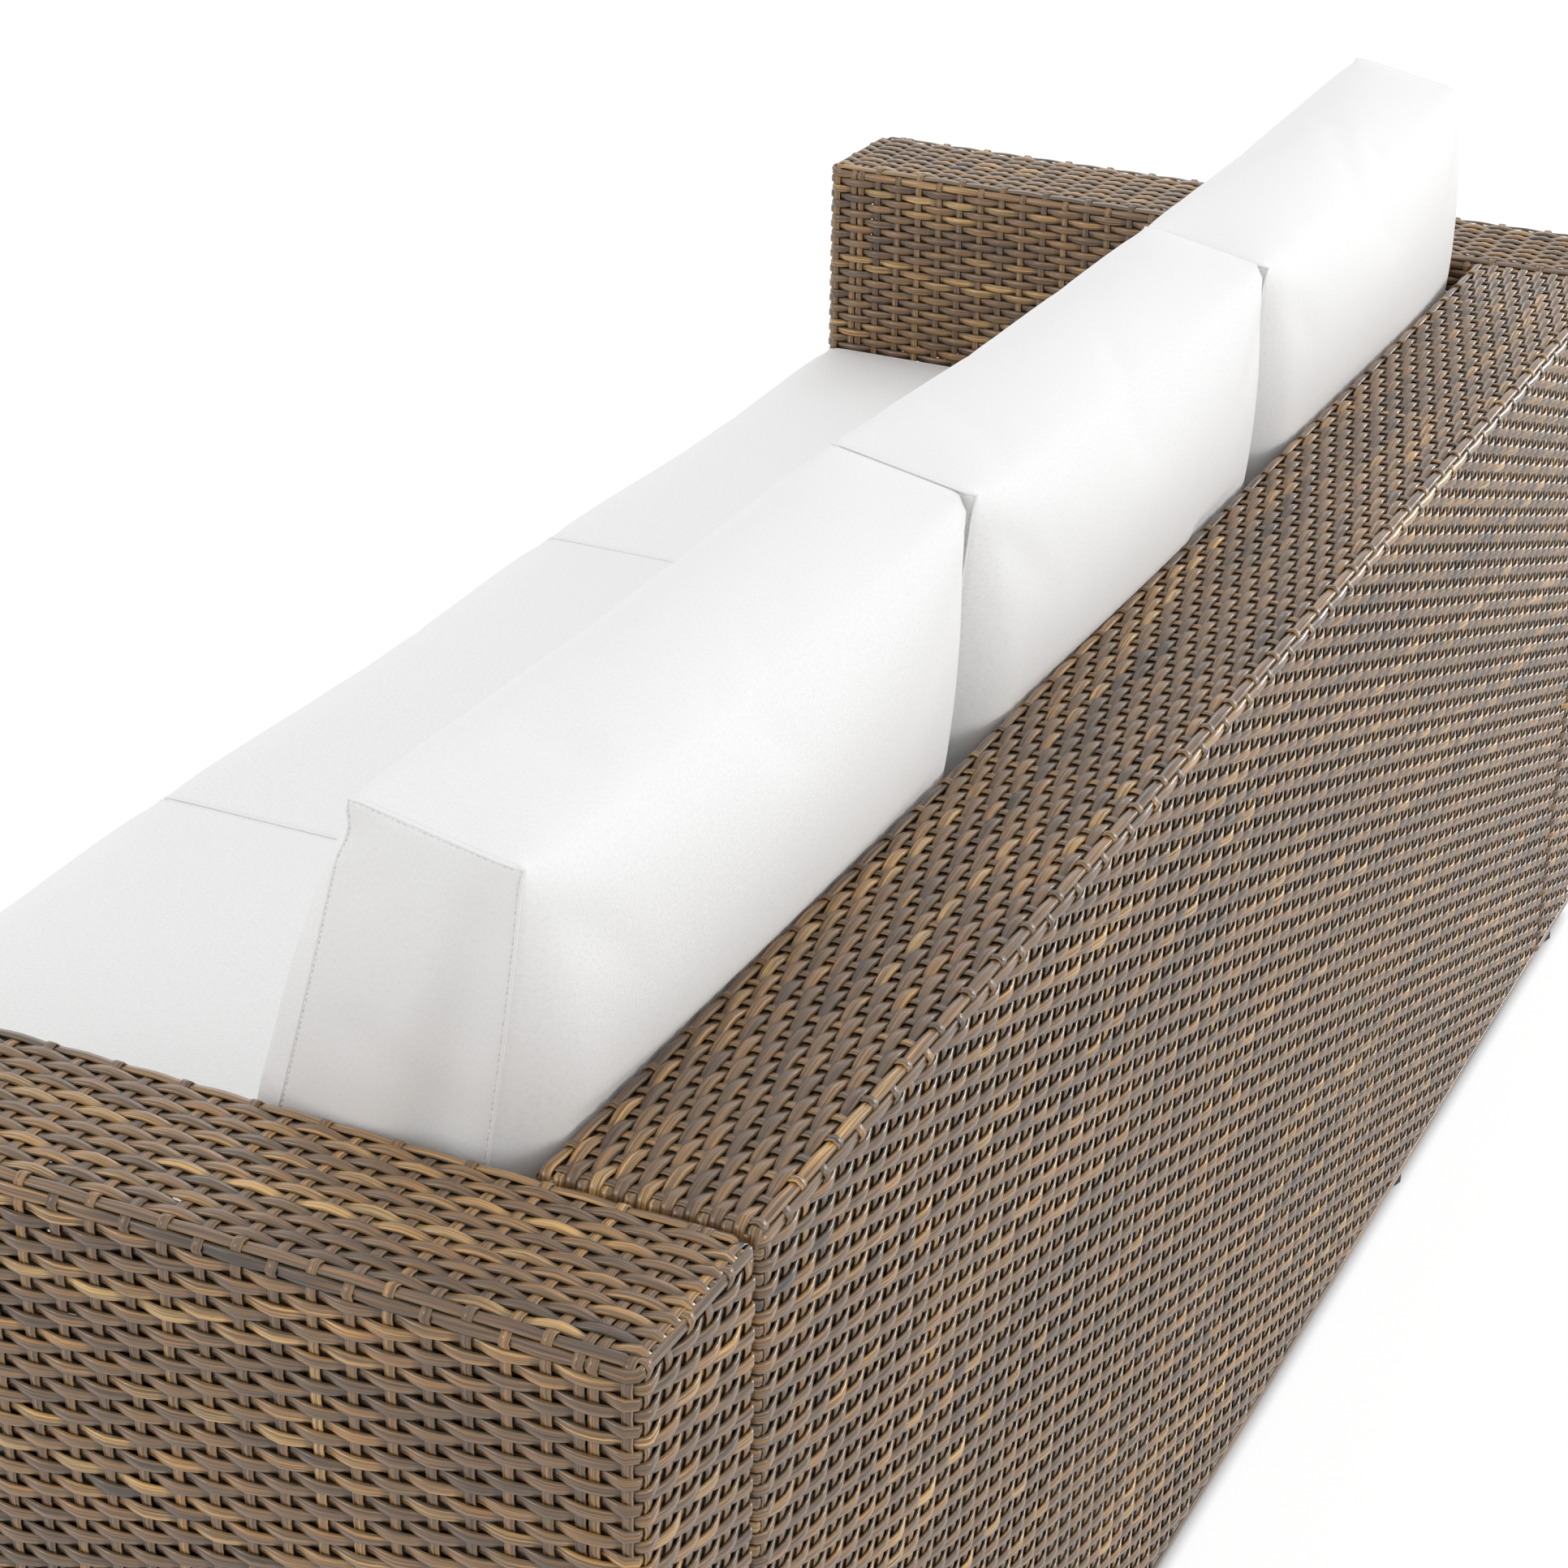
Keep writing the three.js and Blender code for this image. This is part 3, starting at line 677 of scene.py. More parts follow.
class StrandBundle:
    """Guide lines of many strands, which one Geometry Nodes tree turns into one mesh.

    Attributes:
        CLOSEST: How close together two points of a guide line may stand.
        LONGEST_START: The most that a strand's streaks are shifted along it.
    """

    CLOSEST = 0.9 * MM
    LONGEST_START = 3.0

    def __init__(self, section: StrandSection, rng: np.random.Generator) -> None:
        """Starts an empty bundle.

        Args:
            section: The section of every strand in it.
            rng: Where each strand's tone comes from.
        """
        self.section = section
        self.rng = rng
        self._points: list[np.ndarray] = []
        self._outward: list[np.ndarray] = []
        self._values: list[np.ndarray] = []
        self._closing: list[tuple[int, int]] = []
        self.count = 0

    def lay(
        self,
        route: Route,
        plane: Plane,
        across: float,
        crossings: Sequence[Crossing],
        girth: float = 1.0,
        mirror: int = 1,
        tilt: float = 0.0,
    ) -> None:
        """Lays one strand along a route.

        Args:
            route: The strand's line in its plane.
            plane: The plane.
            across: Where the plane stands on the axis across it.
            crossings: The strand's crossings, in order along the route.
            girth: How wide this strand is, as a share of the section's width.
            mirror: -1 lays it on the other side of the YZ plane.
            tilt: How far its crown leans towards the plane's own axis, in degrees.
        """
        marks = np.array([c.at for c in crossings])
        heights = np.array([c.height for c in crossings])
        shares = np.arange(self.section.cells) / self.section.cells
        lengths = [marks[i] + (marks[i + 1] - marks[i]) * shares for i in range(len(marks) - 1)]
        wanted = np.concatenate([*lengths, marks[-1:], route.bend_marks(), [0.0, route.length]])
        wanted = np.unique(np.clip(wanted, 0.0, route.length))
        wanted = wanted[np.concatenate([[True], np.diff(wanted) > self.CLOSEST])]
        index = np.clip(np.searchsorted(marks, wanted) - 1, 0, len(marks) - 2)
        share = np.clip((wanted - marks[index]) / (marks[index + 1] - marks[index]), 0, 1)
        eased = (1 - np.cos(np.pi * share)) / 2
        height = heights[index] * (1 - eased) + heights[index + 1] * eased
        asides = np.array([c.aside for c in crossings])
        aside = asides[index] * (1 - eased) + asides[index + 1] * eased
        flat, flat_out = route.at(wanted)
        first, second, third = plane.value
        points = np.zeros((len(wanted), 3))
        outward = np.zeros((len(wanted), 3))
        points[:, first], points[:, second] = flat[:, 0], flat[:, 1]
        points[:, third] = across + aside
        lean = math.radians(tilt)
        outward[:, first] = flat_out[:, 0] * math.cos(lean)
        outward[:, second] = flat_out[:, 1] * math.cos(lean)
        outward[:, third] = math.sin(lean)
        points[:, 0] *= mirror
        outward[:, 0] *= mirror
        wider = girth * (1 + self.section.swell * np.clip(height, -1, 1))
        tone = np.full(len(wanted), self.rng.random())
        start = self.rng.random() * self.LONGEST_START
        self._points.append(points)
        self._outward.append(outward)
        self._values.append(np.stack([height, wider, tone, wanted + start], 1))
        self.count += 1

    def lay_loop(self, points: np.ndarray, outward: np.ndarray) -> None:
        """Lays one closed strand through given points.

        Args:
            points: The points in order, the first not repeated.
            outward: The direction that the strand's crown faces at each point.
        """
        first = sum(len(p) for p in self._points)
        self._closing.append((first + len(points) - 1, first))
        self._points.append(points)
        self._outward.append(outward)
        ones, run = np.ones(len(points)), np.arange(len(points)) * MM
        self._values.append(np.stack([ones * 0, ones, ones * self.rng.random(), run], 1))
        self.count += 1

    def guide(self, name: str) -> bpy.types.Object:
        """Makes the guide lines' mesh, with their values as point attributes."""
        points = np.concatenate(self._points)
        ends = np.cumsum([len(p) for p in self._points])
        starts = np.arange(len(points) - 1)
        starts = starts[~np.isin(starts + 1, ends)]
        edges = np.concatenate(
            [np.stack([starts, starts + 1], 1), np.array(self._closing, int).reshape(-1, 2)]
        )
        mesh = bpy.data.meshes.new(name)
        mesh.from_pydata(points.tolist(), edges.tolist(), [])
        outward = mesh.attributes.new("outward", "FLOAT_VECTOR", "POINT")
        outward.data.foreach_set("vector", np.concatenate(self._outward).astype(np.float32).ravel())
        values = np.concatenate(self._values).astype(np.float32)
        for column, label in enumerate(("height", "girth", "tone", "run")):
            attribute = mesh.attributes.new(label, "FLOAT", "POINT")
            attribute.data.foreach_set("value", np.ascontiguousarray(values[:, column]))
        return placed(name, mesh)

    def make(self, name: str, tree: Tree, material: bpy.types.Material) -> bpy.types.Object:
        """Turns the bundle into one plain mesh.

        Args:
            name: The piece's name.
            tree: The strand tree.
            material: The strand's material.

        Returns:
            The finished object, with no modifier.
        """
        guide = self.guide(name)
        section = self.section
        sizes = {
            "Half width": section.half_width,
            "Rise": section.rise,
            "Back share": section.back_share,
            "Groove": section.groove,
            "Section sides": section.sides,
            "Section turn": math.radians(section.turn),
            "Wave": section.wave,
            "Strand material": material,
        }
        return grow(guide, tree, sizes)


def grow(obj: bpy.types.Object, tree: Tree, sizes: dict[str, object]) -> bpy.types.Object:
    """Runs a Geometry Nodes tree on an object and keeps the result as its plain mesh.

    Args:
        obj: The object whose mesh is the tree's input.
        tree: The tree.
        sizes: A value for each of the tree's named inputs.

    Returns:
        The same object, with the new mesh and no modifier.
    """
    modifier = obj.modifiers.new("Grow", "NODES")
    modifier.node_group = tree
    sockets = {s.name: s.identifier for s in tree.interface.items_tree if s.in_out == "INPUT"}
    for label, value in sizes.items():
        modifier[sockets[label]] = value
    made, guide = evaluated_mesh(obj), obj.data
    obj.modifiers.remove(modifier)
    obj.data = made
    made.name = obj.name
    bpy.data.meshes.remove(guide)
    for label in ("outward", "girth"):
        if label in made.attributes:
            made.attributes.remove(made.attributes[label])
    return obj


def new_tree(name: str, inputs: dict[str, str]) -> tuple[Tree, Mapping[str, Socket]]:
    """Makes a geometry tree with a geometry input and output and further named inputs.

    Args:
        name: The tree's name.
        inputs: The kind of socket of each further input by name.

    Returns:
        The tree and its inputs' sockets by name.
    """
    tree = bpy.data.node_groups.new(name, "GeometryNodeTree")
    tree.interface.new_socket("Geometry", in_out="INPUT", socket_type="NodeSocketGeometry")
    tree.interface.new_socket("Geometry", in_out="OUTPUT", socket_type="NodeSocketGeometry")
    for label, kind in inputs.items():
        tree.interface.new_socket(label, in_out="INPUT", socket_type=f"NodeSocket{kind}")
    return tree, add_node(tree, "NodeGroupInput").outputs


def finish_tree(tree: Tree, geometry: object, material: object) -> None:
    """Ends a tree: smooth shading, Realize Instances, Set Material and the output.

    Args:
        tree: The tree.
        geometry: The node that makes the geometry.
        material: The socket with the material.
    """
    made = add_node(
        tree, "GeometryNodeSetShadeSmooth", inputs={"Geometry": geometry, "Shade Smooth": True}
    )
    made = add_node(tree, "GeometryNodeRealizeInstances", inputs={"Geometry": made})
    made = add_node(
        tree, "GeometryNodeSetMaterial", inputs={"Geometry": made, "Material": material}
    )
    add_node(tree, "NodeGroupOutput", inputs={"Geometry": made})


def named_value(tree: Tree, label: str, kind: str = "FLOAT") -> Socket:
    """Reads a named attribute in a geometry tree."""
    node = add_node(tree, "GeometryNodeInputNamedAttribute", {"data_type": kind}, {"Name": label})
    return node.outputs["Attribute"]


def strand_tree() -> Tree:
    """Builds the tree that sweeps a flat strand along guide lines.

    The guide's points are moved out by their height, and the section is drawn from a circle
    whose upper half is the crown and whose lower half is pressed flat.

    Returns:
        The tree.
    """
    tree, given = new_tree(
        "Flat strand along guides",
        {
            "Half width": "Float",
            "Rise": "Float",
            "Back share": "Float",
            "Groove": "Float",
            "Section sides": "Int",
            "Section turn": "Float",
            "Wave": "Float",
            "Strand material": "Material",
        },
    )
    outward = named_value(tree, "outward", "FLOAT_VECTOR")
    reach = times(tree, named_value(tree, "height"), given["Wave"])
    moved = add_node(
        tree, "ShaderNodeVectorMath", {"operation": "SCALE"}, {"Vector": outward, "Scale": reach}
    )
    waved = add_node(
        tree, "GeometryNodeSetPosition", inputs={"Geometry": given["Geometry"], "Offset": moved}
    )
    line = add_node(tree, "GeometryNodeMeshToCurve", inputs={"Mesh": waved})
    turned = add_node(
        tree, "GeometryNodeSetCurveNormal", {"mode": "FREE"}, {"Curve": line, "Normal": outward}
    )
    circle = add_node(
        tree,
        "GeometryNodeCurvePrimitiveCircle",
        inputs={"Resolution": given["Section sides"], "Radius": 1.0},
    )
    spin = combine(tree, z=given["Section turn"])
    spun = add_node(tree, "GeometryNodeTransform", inputs={"Geometry": circle, "Rotation": spin})
    unit = separate(tree, add_node(tree, "GeometryNodeInputPosition"))
    marked = add_node(
        tree,
        "GeometryNodeStoreNamedAttribute",
        {"data_type": "FLOAT", "domain": "POINT"},
        {"Geometry": spun, "Name": "across", "Value": unit["Y"]},
    )
    crown = calculate(tree, "MAXIMUM", unit["X"], 0.0)
    back = calculate(tree, "MINIMUM", unit["X"], 0.0)
    inside = calculate(tree, "SUBTRACT", 1.0, calculate(tree, "ABSOLUTE", unit["Y"]))
    sunk = times(tree, inside, given["Groove"])
    middle = calculate(tree, "GREATER_THAN", unit["X"], CROWN_MIDDLE)
    domed = times(tree, crown, given["Rise"])
    risen = calculate(tree, "SUBTRACT", domed, times(tree, sunk, middle))
    pressed = times(tree, times(tree, back, given["Back share"]), given["Rise"])
    height = calculate(tree, "ADD", risen, pressed)
    drawn = combine(tree, height, times(tree, unit["Y"], given["Half width"]))
    section = add_node(
        tree, "GeometryNodeSetPosition", inputs={"Geometry": marked, "Position": drawn}
    )
    swept = add_node(
        tree,
        "GeometryNodeCurveToMesh",
        inputs={
            "Curve": turned,
            "Profile Curve": section,
            "Scale": named_value(tree, "girth"),
            "Fill Caps": True,
        },
    )
    finish_tree(tree, swept, given["Strand material"])
    return tree


def stitch_tree() -> Tree:
    """Builds the tree that sets sewn stitches along guide lines.

    Returns:
        The tree.
    """
    tree, given = new_tree(
        "Stitches along guides",
        {
            "Pitch": "Float",
            "Stitch length": "Float",
            "Thread radius": "Float",
            "Thread material": "Material",
        },
    )
    line = add_node(tree, "GeometryNodeMeshToCurve", inputs={"Mesh": given["Geometry"]})
    places = add_node(
        tree,
        "GeometryNodeResampleCurve",
        {"mode": "LENGTH"},
        {"Curve": line, "Length": given["Pitch"]},
    )
    bead = add_node(
        tree, "GeometryNodeMeshUVSphere", inputs={"Segments": 4, "Rings": 3, "Radius": 1.0}
    )
    half = times(tree, given["Stitch length"], 0.5)
    tangent = add_node(tree, "GeometryNodeInputTangent")
    along = add_node(
        tree, "FunctionNodeAlignRotationToVector", {"axis": "Z"}, {"Vector": tangent}
    )
    stitches = add_node(
        tree,
        "GeometryNodeInstanceOnPoints",
        inputs={
            "Points": places,
            "Instance": bead,
            "Rotation": along,
            "Scale": combine(tree, given["Thread radius"], given["Thread radius"], half),
        },
    )
    finish_tree(tree, stitches, given["Thread material"])
    return tree


@dataclass
class Workshop:
    """What every builder shares: the materials, the trees and the seeded random numbers."""

    paints: Paints = field(default_factory=Paints)
    rng: np.random.Generator = field(default_factory=lambda: np.random.default_rng(SEED))
    strands: Tree = field(default_factory=strand_tree)
    stitches: Tree = field(default_factory=stitch_tree)

    def weave(self, bundle: StrandBundle, name: str, *nodes: str) -> bpy.types.Object:
        """Makes a bundle's piece and puts it in the place of woven skins.

        Args:
            bundle: The strands.
            name: The piece's name.
            nodes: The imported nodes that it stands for.

        Returns:
            The piece, riding on the frame.
        """
        piece = bundle.make(name, self.strands, self.paints[Finish.STRAND])
        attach(piece, "frame")
        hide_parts(*nodes)
        report(piece, f"{bundle.count} strands")
        return piece


def report(piece: bpy.types.Object, note: str) -> None:
    """Logs a finished piece with its triangle count."""
    triangles = sum(len(p.vertices) - 2 for p in piece.data.polygons)
    LOG.info("%s: %d triangles, %s", piece.name, triangles, note)


def spaced(first: float, last: float, count: int) -> np.ndarray:
    """Evenly spaced places from first to last, both included."""
    return np.linspace(first, last, count)


def parity(number: int) -> int:
    """1 for an even number and -1 for an odd one."""
    return 1 - 2 * (number % 2)


def tucked(route: Route, crossings: Iterable[Crossing]) -> list[Crossing]:
    """A strand's crossings with both of its ends tucked under."""
    return [Crossing(0.0, -1.0), *crossings, Crossing(route.length, -1.0)]


@dataclass
class WovenModule:
    """What the woven modules share: how the strand stands on a box and how dense it is.

    Attributes:
        inset: From the box's face to the middle of the weave.
        corner: The round of the weave's middle at an edge.
        bottom: The height of the lowest weaver's middle.
        top_drop: From the top face to the middle of the highest side weaver.
        weaver_count: Weavers from the bottom to the top edge.
        edge_inset: From a side face to the middle of the first weaver of the top.
        edge_gap: From that border strand to the next weaver.
        border_girth: The border strand's width, as a share of a weaver's.
        border_wave: How far the border strand waves, as a share of a weaver's wave.
        bottom_lift: How far out the lowest weaver lies, over all its stakes, as a share of the
            others' wave.
        border_tilt: How far the border strands lean over the edge, in degrees.
        wrap: How high a stake stands where it wraps a border strand.
        dip: How deep it lies where it passes under one.
        hem: How far the stakes turn in under the bottom edge.
        tuck: How far a strand's end is tucked round the last corner.
    """

    inset: float = 2.5 * MM
    corner: float = 5.5 * MM
    bottom: float = 18.0 * MM
    top_drop: float = 7.8 * MM
    weaver_count: int = 89
    edge_inset: float = 6.6 * MM
    edge_gap: float = 7.7 * MM
    border_girth: float = 1.03
    border_wave: float = 0.28
    bottom_lift: float = 0.85
    border_tilt: float = 12.0
    wrap: float = 3.9
    dip: float = -1.6
    hem: float = 16.0 * MM
    tuck: float = 17.0 * MM

    def heights(self, top: float) -> np.ndarray:
        """The heights of the side weavers, from the bottom up."""
        return spaced(self.bottom, top - self.top_drop, self.weaver_count)

    def top_places(self, low: float, high: float, count: int) -> np.ndarray:
        """The places of a top's weavers between two faces, with a border strand at each edge."""
        first, last = low + self.edge_inset, high - self.edge_inset
        inner = spaced(first + self.edge_gap, last - self.edge_gap, count - 2)
        return np.concatenate([[first], inner, [last]])

    def stake_height(self, over: int, border: bool, bottom: bool = False) -> float:
        """A stake's height at a crossing: tight round a border strand, under the lowest weaver."""
        if bottom:
            return -1.0
        if not border:
            return float(over)
        return self.wrap if over > 0 else self.dip

    def over_route(self, up: float, down: float) -> tuple[Route, list[tuple[float, bool]]]:
        """The route of a stake up one face, over the top and down the other face.

        Args:
            up: Where the face stands that it runs up.
            down: Where the other face stands.

        Returns:
            The route, and for each weaver its length along the route and whether it is a
            border strand.
        """
        corners = [(up - self.hem, self.base), (up, self.base), (up, self.top)]
        corners += [(down, self.top), (down, self.base), (down + self.hem, self.base)]
        route = Route(corners, self.corner, outside=-1)
        highest, borders = self.rows[-1], (0, len(self.top_weavers) - 1)
        met = [(route.nearest((up, z)), z == highest) for z in self.rows]
        met += [
            (route.nearest((place, self.top)), j in borders)
            for j, place in enumerate(self.top_weavers[::-1])
        ]
        met += [(route.nearest((down, z)), z == highest) for z in self.rows[::-1]]
        return route, met

    def stake_crossings(
        self, route: Route, number: int, met: Sequence[tuple[float, bool]]
    ) -> list[Crossing]:
        """A stake's crossings from one lowest weaver over the top to the other.

        Args:
            route: The stake's route.
            number: The stake's number, which says whether it starts over or under.
            met: For each weaver, its length along the route and whether it is a border strand.

        Returns:
            The crossings, with both ends tucked under.
        """
        ends = (0, len(met) - 1)
        crossings = [
            Crossing(at, self.stake_height(-parity(number + q), border, q in ends))
            for q, (at, border) in enumerate(met)
        ]
        return tucked(route, crossings)

    def weaver_height(self, over: int, border: bool, bottom: bool = False) -> float:
        """A weaver's height at a crossing: less on a border strand, and level on the lowest."""
        return self.bottom_lift if bottom else over * (self.border_wave if border else 1.0)


@dataclass
class WovenArm(WovenModule):
    """One arm: rings of weavers round its four sides, and a top woven along its length.

    Attributes:
        side: 1 for the sitter's left arm and -1 for the right one.
        stake_count: Stakes along a long side, which run on over the top.
        end_stake_count: Stakes on an end.
        first_stake: From an end face to the first stake of a long side.
        twin_spread: Half the distance between the two stakes of a pair.
        top_count: Weavers along the top, an even number, so that the stakes meet the rings.
        lap: How far a ring's two ends lie over each other, behind the back module.
        end_dive: How deep the top weavers' ends lie behind the band.
        bend_dive: How deep they lie where they bend down to it.
        band_rise: How much higher the highest ring lies on the ends than on the sides.
        band_height: How far it stands out there, over the top weavers' ends.
        band_wrap: How high an end stake stands where it wraps it.
        tight: The round of a strand that turns sharply at an end's upper edge.
        top_tuck: How far the top weavers' ends reach down behind the band.
        border_end: From an end's skin to the end of a border strand of the top.
        border_dive: How deep that end lies.
        tail: How far an end stake that wraps the band runs in over the top behind it.
        tail_drop: How far below the top's skin it runs there.
        tail_dive: How deep its end lies.
        over_band: How far past the band it lies level, as a share of the tight round.
        over_height: How high it stands there.
        under_band: How deep an end stake that ends under the band passes below it.
        stub_dive: How deep its end lies.
    """

    side: int = 1
    stake_count: int = 36
    end_stake_count: int = 6
    first_stake: float = 8.0 * MM
    twin_spread: float = 3.6 * MM
    top_count: int = 16
    lap: float = 30.0 * MM
    end_dive: float = -2.2
    bend_dive: float = -0.2
    band_rise: float = 2.2 * MM
    band_height: float = 0.0
    band_wrap: float = 3.7
    tight: float = 2.5 * MM
    top_tuck: float = 7.0 * MM
    border_end: float = 2.5 * MM
    border_dive: float = -2.5
    tail: float = 8.0 * MM
    tail_drop: float = 0.2 * MM
    tail_dive: float = -7.0
    over_band: float = 2.2
    over_height: float = 0.2
    under_band: float = -2.0
    stub_dive: float = -2.5

    def __post_init__(self) -> None:
        """Takes the arm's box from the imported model, as if it were the left one."""
        self.name = "arm_left" if self.side > 0 else "arm_right"
        self.node = "arm_weave_left" if self.side > 0 else "arm_weave_right"
        low, high = (Vector(c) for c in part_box(self.node))
        if self.side < 0:
            low.x, high.x = -high.x, -low.x
        skin = self.inset
        self.inner, self.outer = low.x + skin, high.x - skin
        self.front, self.rear = low.y + skin, high.y - skin
        self.base, self.top = low.z + skin, high.z - skin
        self.rows = self.heights(high.z)
        self.stakes = spaced(low.y + self.first_stake, high.y - self.first_stake, self.stake_count)
        step = (high.x - low.x) / self.end_stake_count
        self.end_stakes = low.x + step * (np.arange(self.end_stake_count) + 0.5)
        self.top_weavers = self.top_places(low.x, high.x, self.top_count)

    def twins(self, index: int) -> tuple[float, ...]:
        """The places of the stakes at one position of a long side: one, or a pair near a corner."""
        place = float(self.stakes[index])
        if index in (1, self.stake_count - 2):
            return place - self.twin_spread, place + self.twin_spread
        return (place,)

    def ring(self) -> tuple[Route, list[tuple[float, int, bool]]]:
        """The route of a weaver round the arm, and where it meets the stakes.

        Its ends lap on the inner side, behind the back module.

        Returns:
            The route in plan, and for each stake its length along the route, its number, and
            whether it stands on an end of the arm.
        """
        lap_at = self.rear - self.tuck - self.lap
        corners = [(self.inner, lap_at), (self.inner, self.rear), (self.outer, self.rear)]
        corners += [(self.outer, self.front), (self.inner, self.front)]
        corners.append((self.inner, lap_at + self.lap))
        route = Route(corners, self.corner)
        sides = [self.twins(i) for i in range(self.stake_count)]
        rear_part = [group for group in sides if group[0] > lap_at]
        stops = [([(self.inner, y) for y in group], False) for group in rear_part]
        stops += [([(x, self.rear)], True) for x in self.end_stakes]
        stops += [([(self.outer, y) for y in group[::-1]], False) for group in sides[::-1]]
        stops += [([(x, self.front)], True) for x in self.end_stakes[::-1]]
        stops += [
            ([(self.inner, y) for y in group], False)
            for group in sides
            if group[-1] < lap_at + self.lap
        ]
        met, at = [], -1.0
        for number, (points, on_end) in enumerate(stops, self.stake_count - len(rear_part)):
            for point in points:
                at = route.nearest(point, at)
                met.append((at, number, on_end))
        return route, met

    def weave_rings(self, shop: "Workshop") -> None:
        """Weaves the rings, in a lower and an upper piece, the highest with a band on the ends."""
        route, met = self.ring()
        border = self.weaver_count - 1
        half = self.weaver_count // 2
        for label, rows in (("lower", range(half)), ("upper", range(half, border + 1))):
            bundle = StrandBundle(WEAVER, shop.rng)
            for row in rows:
                crossings = [
                    Crossing(at, self.band_height, self.band_rise)
                    if row == border and on_end
                    else Crossing(
                        at, self.weaver_height(parity(number + row), row == border, row == 0)
                    )
                    for at, number, on_end in met
                ]
                girth = self.border_girth if row == border else 1.0
                tilt = self.border_tilt if row == border else 0.0
                bundle.lay(
                    route, Plane.XY, float(self.rows[row]), crossings, girth, self.side, tilt
                )
            shop.weave(bundle, f"{self.name}_weavers_{label}", self.node)

    def weave_top(self, shop: "Workshop") -> None:
        """Weaves the top's strands, whose ends bend down sharply behind the band."""
        drop = self.top - self.top_tuck
        corners = [(self.front, drop), (self.front, self.top)]
        corners += [(self.rear, self.top), (self.rear, drop)]
        route = Route(corners, self.tight)
        bundle = StrandBundle(TOP_WEAVER, shop.rng)
        places = [
            [route.nearest((y, self.top)) for y in self.twins(i)] for i in range(self.stake_count)
        ]
        for j in range(self.top_count - 2, 0, -1):
            crossings = [Crossing(0.0, self.end_dive), Crossing(self.top_tuck, self.bend_dive)]
            for i, group in enumerate(places):
                over = parity(i + self.weaver_count + self.top_count - j)
                crossings += [Crossing(at, float(over)) for at in group]
            crossings.append(Crossing(route.length - self.top_tuck, self.bend_dive))
            crossings.append(Crossing(route.length, self.end_dive))
            x = float(self.top_weavers[j])
            bundle.lay(route, Plane.YZ, x, crossings, mirror=self.side)
        self.lay_top_borders(bundle)
        shop.weave(bundle, f"{self.name}_top_weavers", self.node)

    def lay_top_borders(self, bundle: StrandBundle) -> None:
        """Lays the top's two border strands, whose straight ends dive under the band."""
        ends = self.border_end
        route = Route([(self.front + ends, self.top), (self.rear - ends, self.top)], self.tight)
        flat = 3 * ends
        for j, x in ((0, self.top_weavers[-1]), (self.top_count - 1, self.top_weavers[0])):
            crossings = [Crossing(0.0, self.border_dive), Crossing(flat, self.border_wave)]
            for i in range(2, self.stake_count - 2):
                over = parity(i + 1 + self.weaver_count + j)
                at = route.nearest((float(self.stakes[i]), self.top))
                crossings.append(Crossing(at, self.weaver_height(over, True)))
            crossings.append(Crossing(route.length - flat, self.border_wave))
            crossings.append(Crossing(route.length, self.border_dive))
            tilt = self.border_tilt * (1 if j == 0 else -1)
            bundle.lay(
                route, Plane.YZ, float(x), crossings, self.border_girth, self.side, tilt
            )

    def set_side_stakes(self, bundle: StrandBundle) -> None:
        """Sets the stakes of the long sides, which run from side to side over the top."""
        route, met = self.over_route(self.outer, self.inner)
        for i in range(self.stake_count):
            # The rings count their stakes from the rear of the inner side.
            number = 2 * self.stake_count - 1 - i
            crossings = self.stake_crossings(route, number, met)
            if i in (0, self.stake_count - 1):
                crossings = [Crossing(c.at, min(c.height, 1.0)) for c in crossings]
            for y in self.twins(i):
                bundle.lay(route, Plane.XZ, y, crossings, mirror=self.side)

    def set_end_stakes(self, bundle: StrandBundle) -> None:
        """Sets the stakes of both ends.

        Every other one wraps the band and tucks in behind it. The rest end under it.
        """
        for end, sign in ((self.rear, 1), (self.front, -1)):
            corners = [(end - sign * self.hem, self.base), (end, self.base)]
            level = self.top - self.tail_drop
            wrapping = Route(
                [*corners, (end, level), (end - sign * self.tail, level)],
                self.tight,
                outside=-sign,
            )
            ending = Route([*corners, (end, self.top - self.tight)], self.tight, outside=-sign)
            first = 0 if sign > 0 else self.end_stake_count + self.stake_count
            order = self.end_stakes if sign > 0 else self.end_stakes[::-1]
            for m, x in enumerate(order):
                wraps = parity(first + m + self.weaver_count - 1) < 0
                route = wrapping if wraps else ending
                crossings = [Crossing(0.0, -1.0)]
                crossings += [
                    Crossing(route.nearest((end, z)), -parity(first + m + k))
                    for k, z in enumerate(self.rows[:-1])
                ]
                band = route.nearest((end, float(self.rows[-1]) + self.band_rise))
                if wraps:
                    past = band + self.tight * self.over_band
                    crossings.append(Crossing(band, self.band_wrap))
                    crossings.append(Crossing(past, self.over_height))
                    crossings.append(Crossing(route.length, self.tail_dive))
                else:
                    crossings.append(Crossing(band, self.under_band))
                    crossings.append(Crossing(route.length, self.stub_dive))
                bundle.lay(route, Plane.YZ, float(x), crossings, mirror=self.side)

    def build(self, shop: "Workshop") -> None:
        """Weaves the whole arm."""
        self.weave_rings(shop)
        self.weave_top(shop)
        stakes = StrandBundle(STAKE, shop.rng)
        self.set_side_stakes(stakes)
        self.set_end_stakes(stakes)
        shop.weave(stakes, f"{self.name}_stakes", self.node)


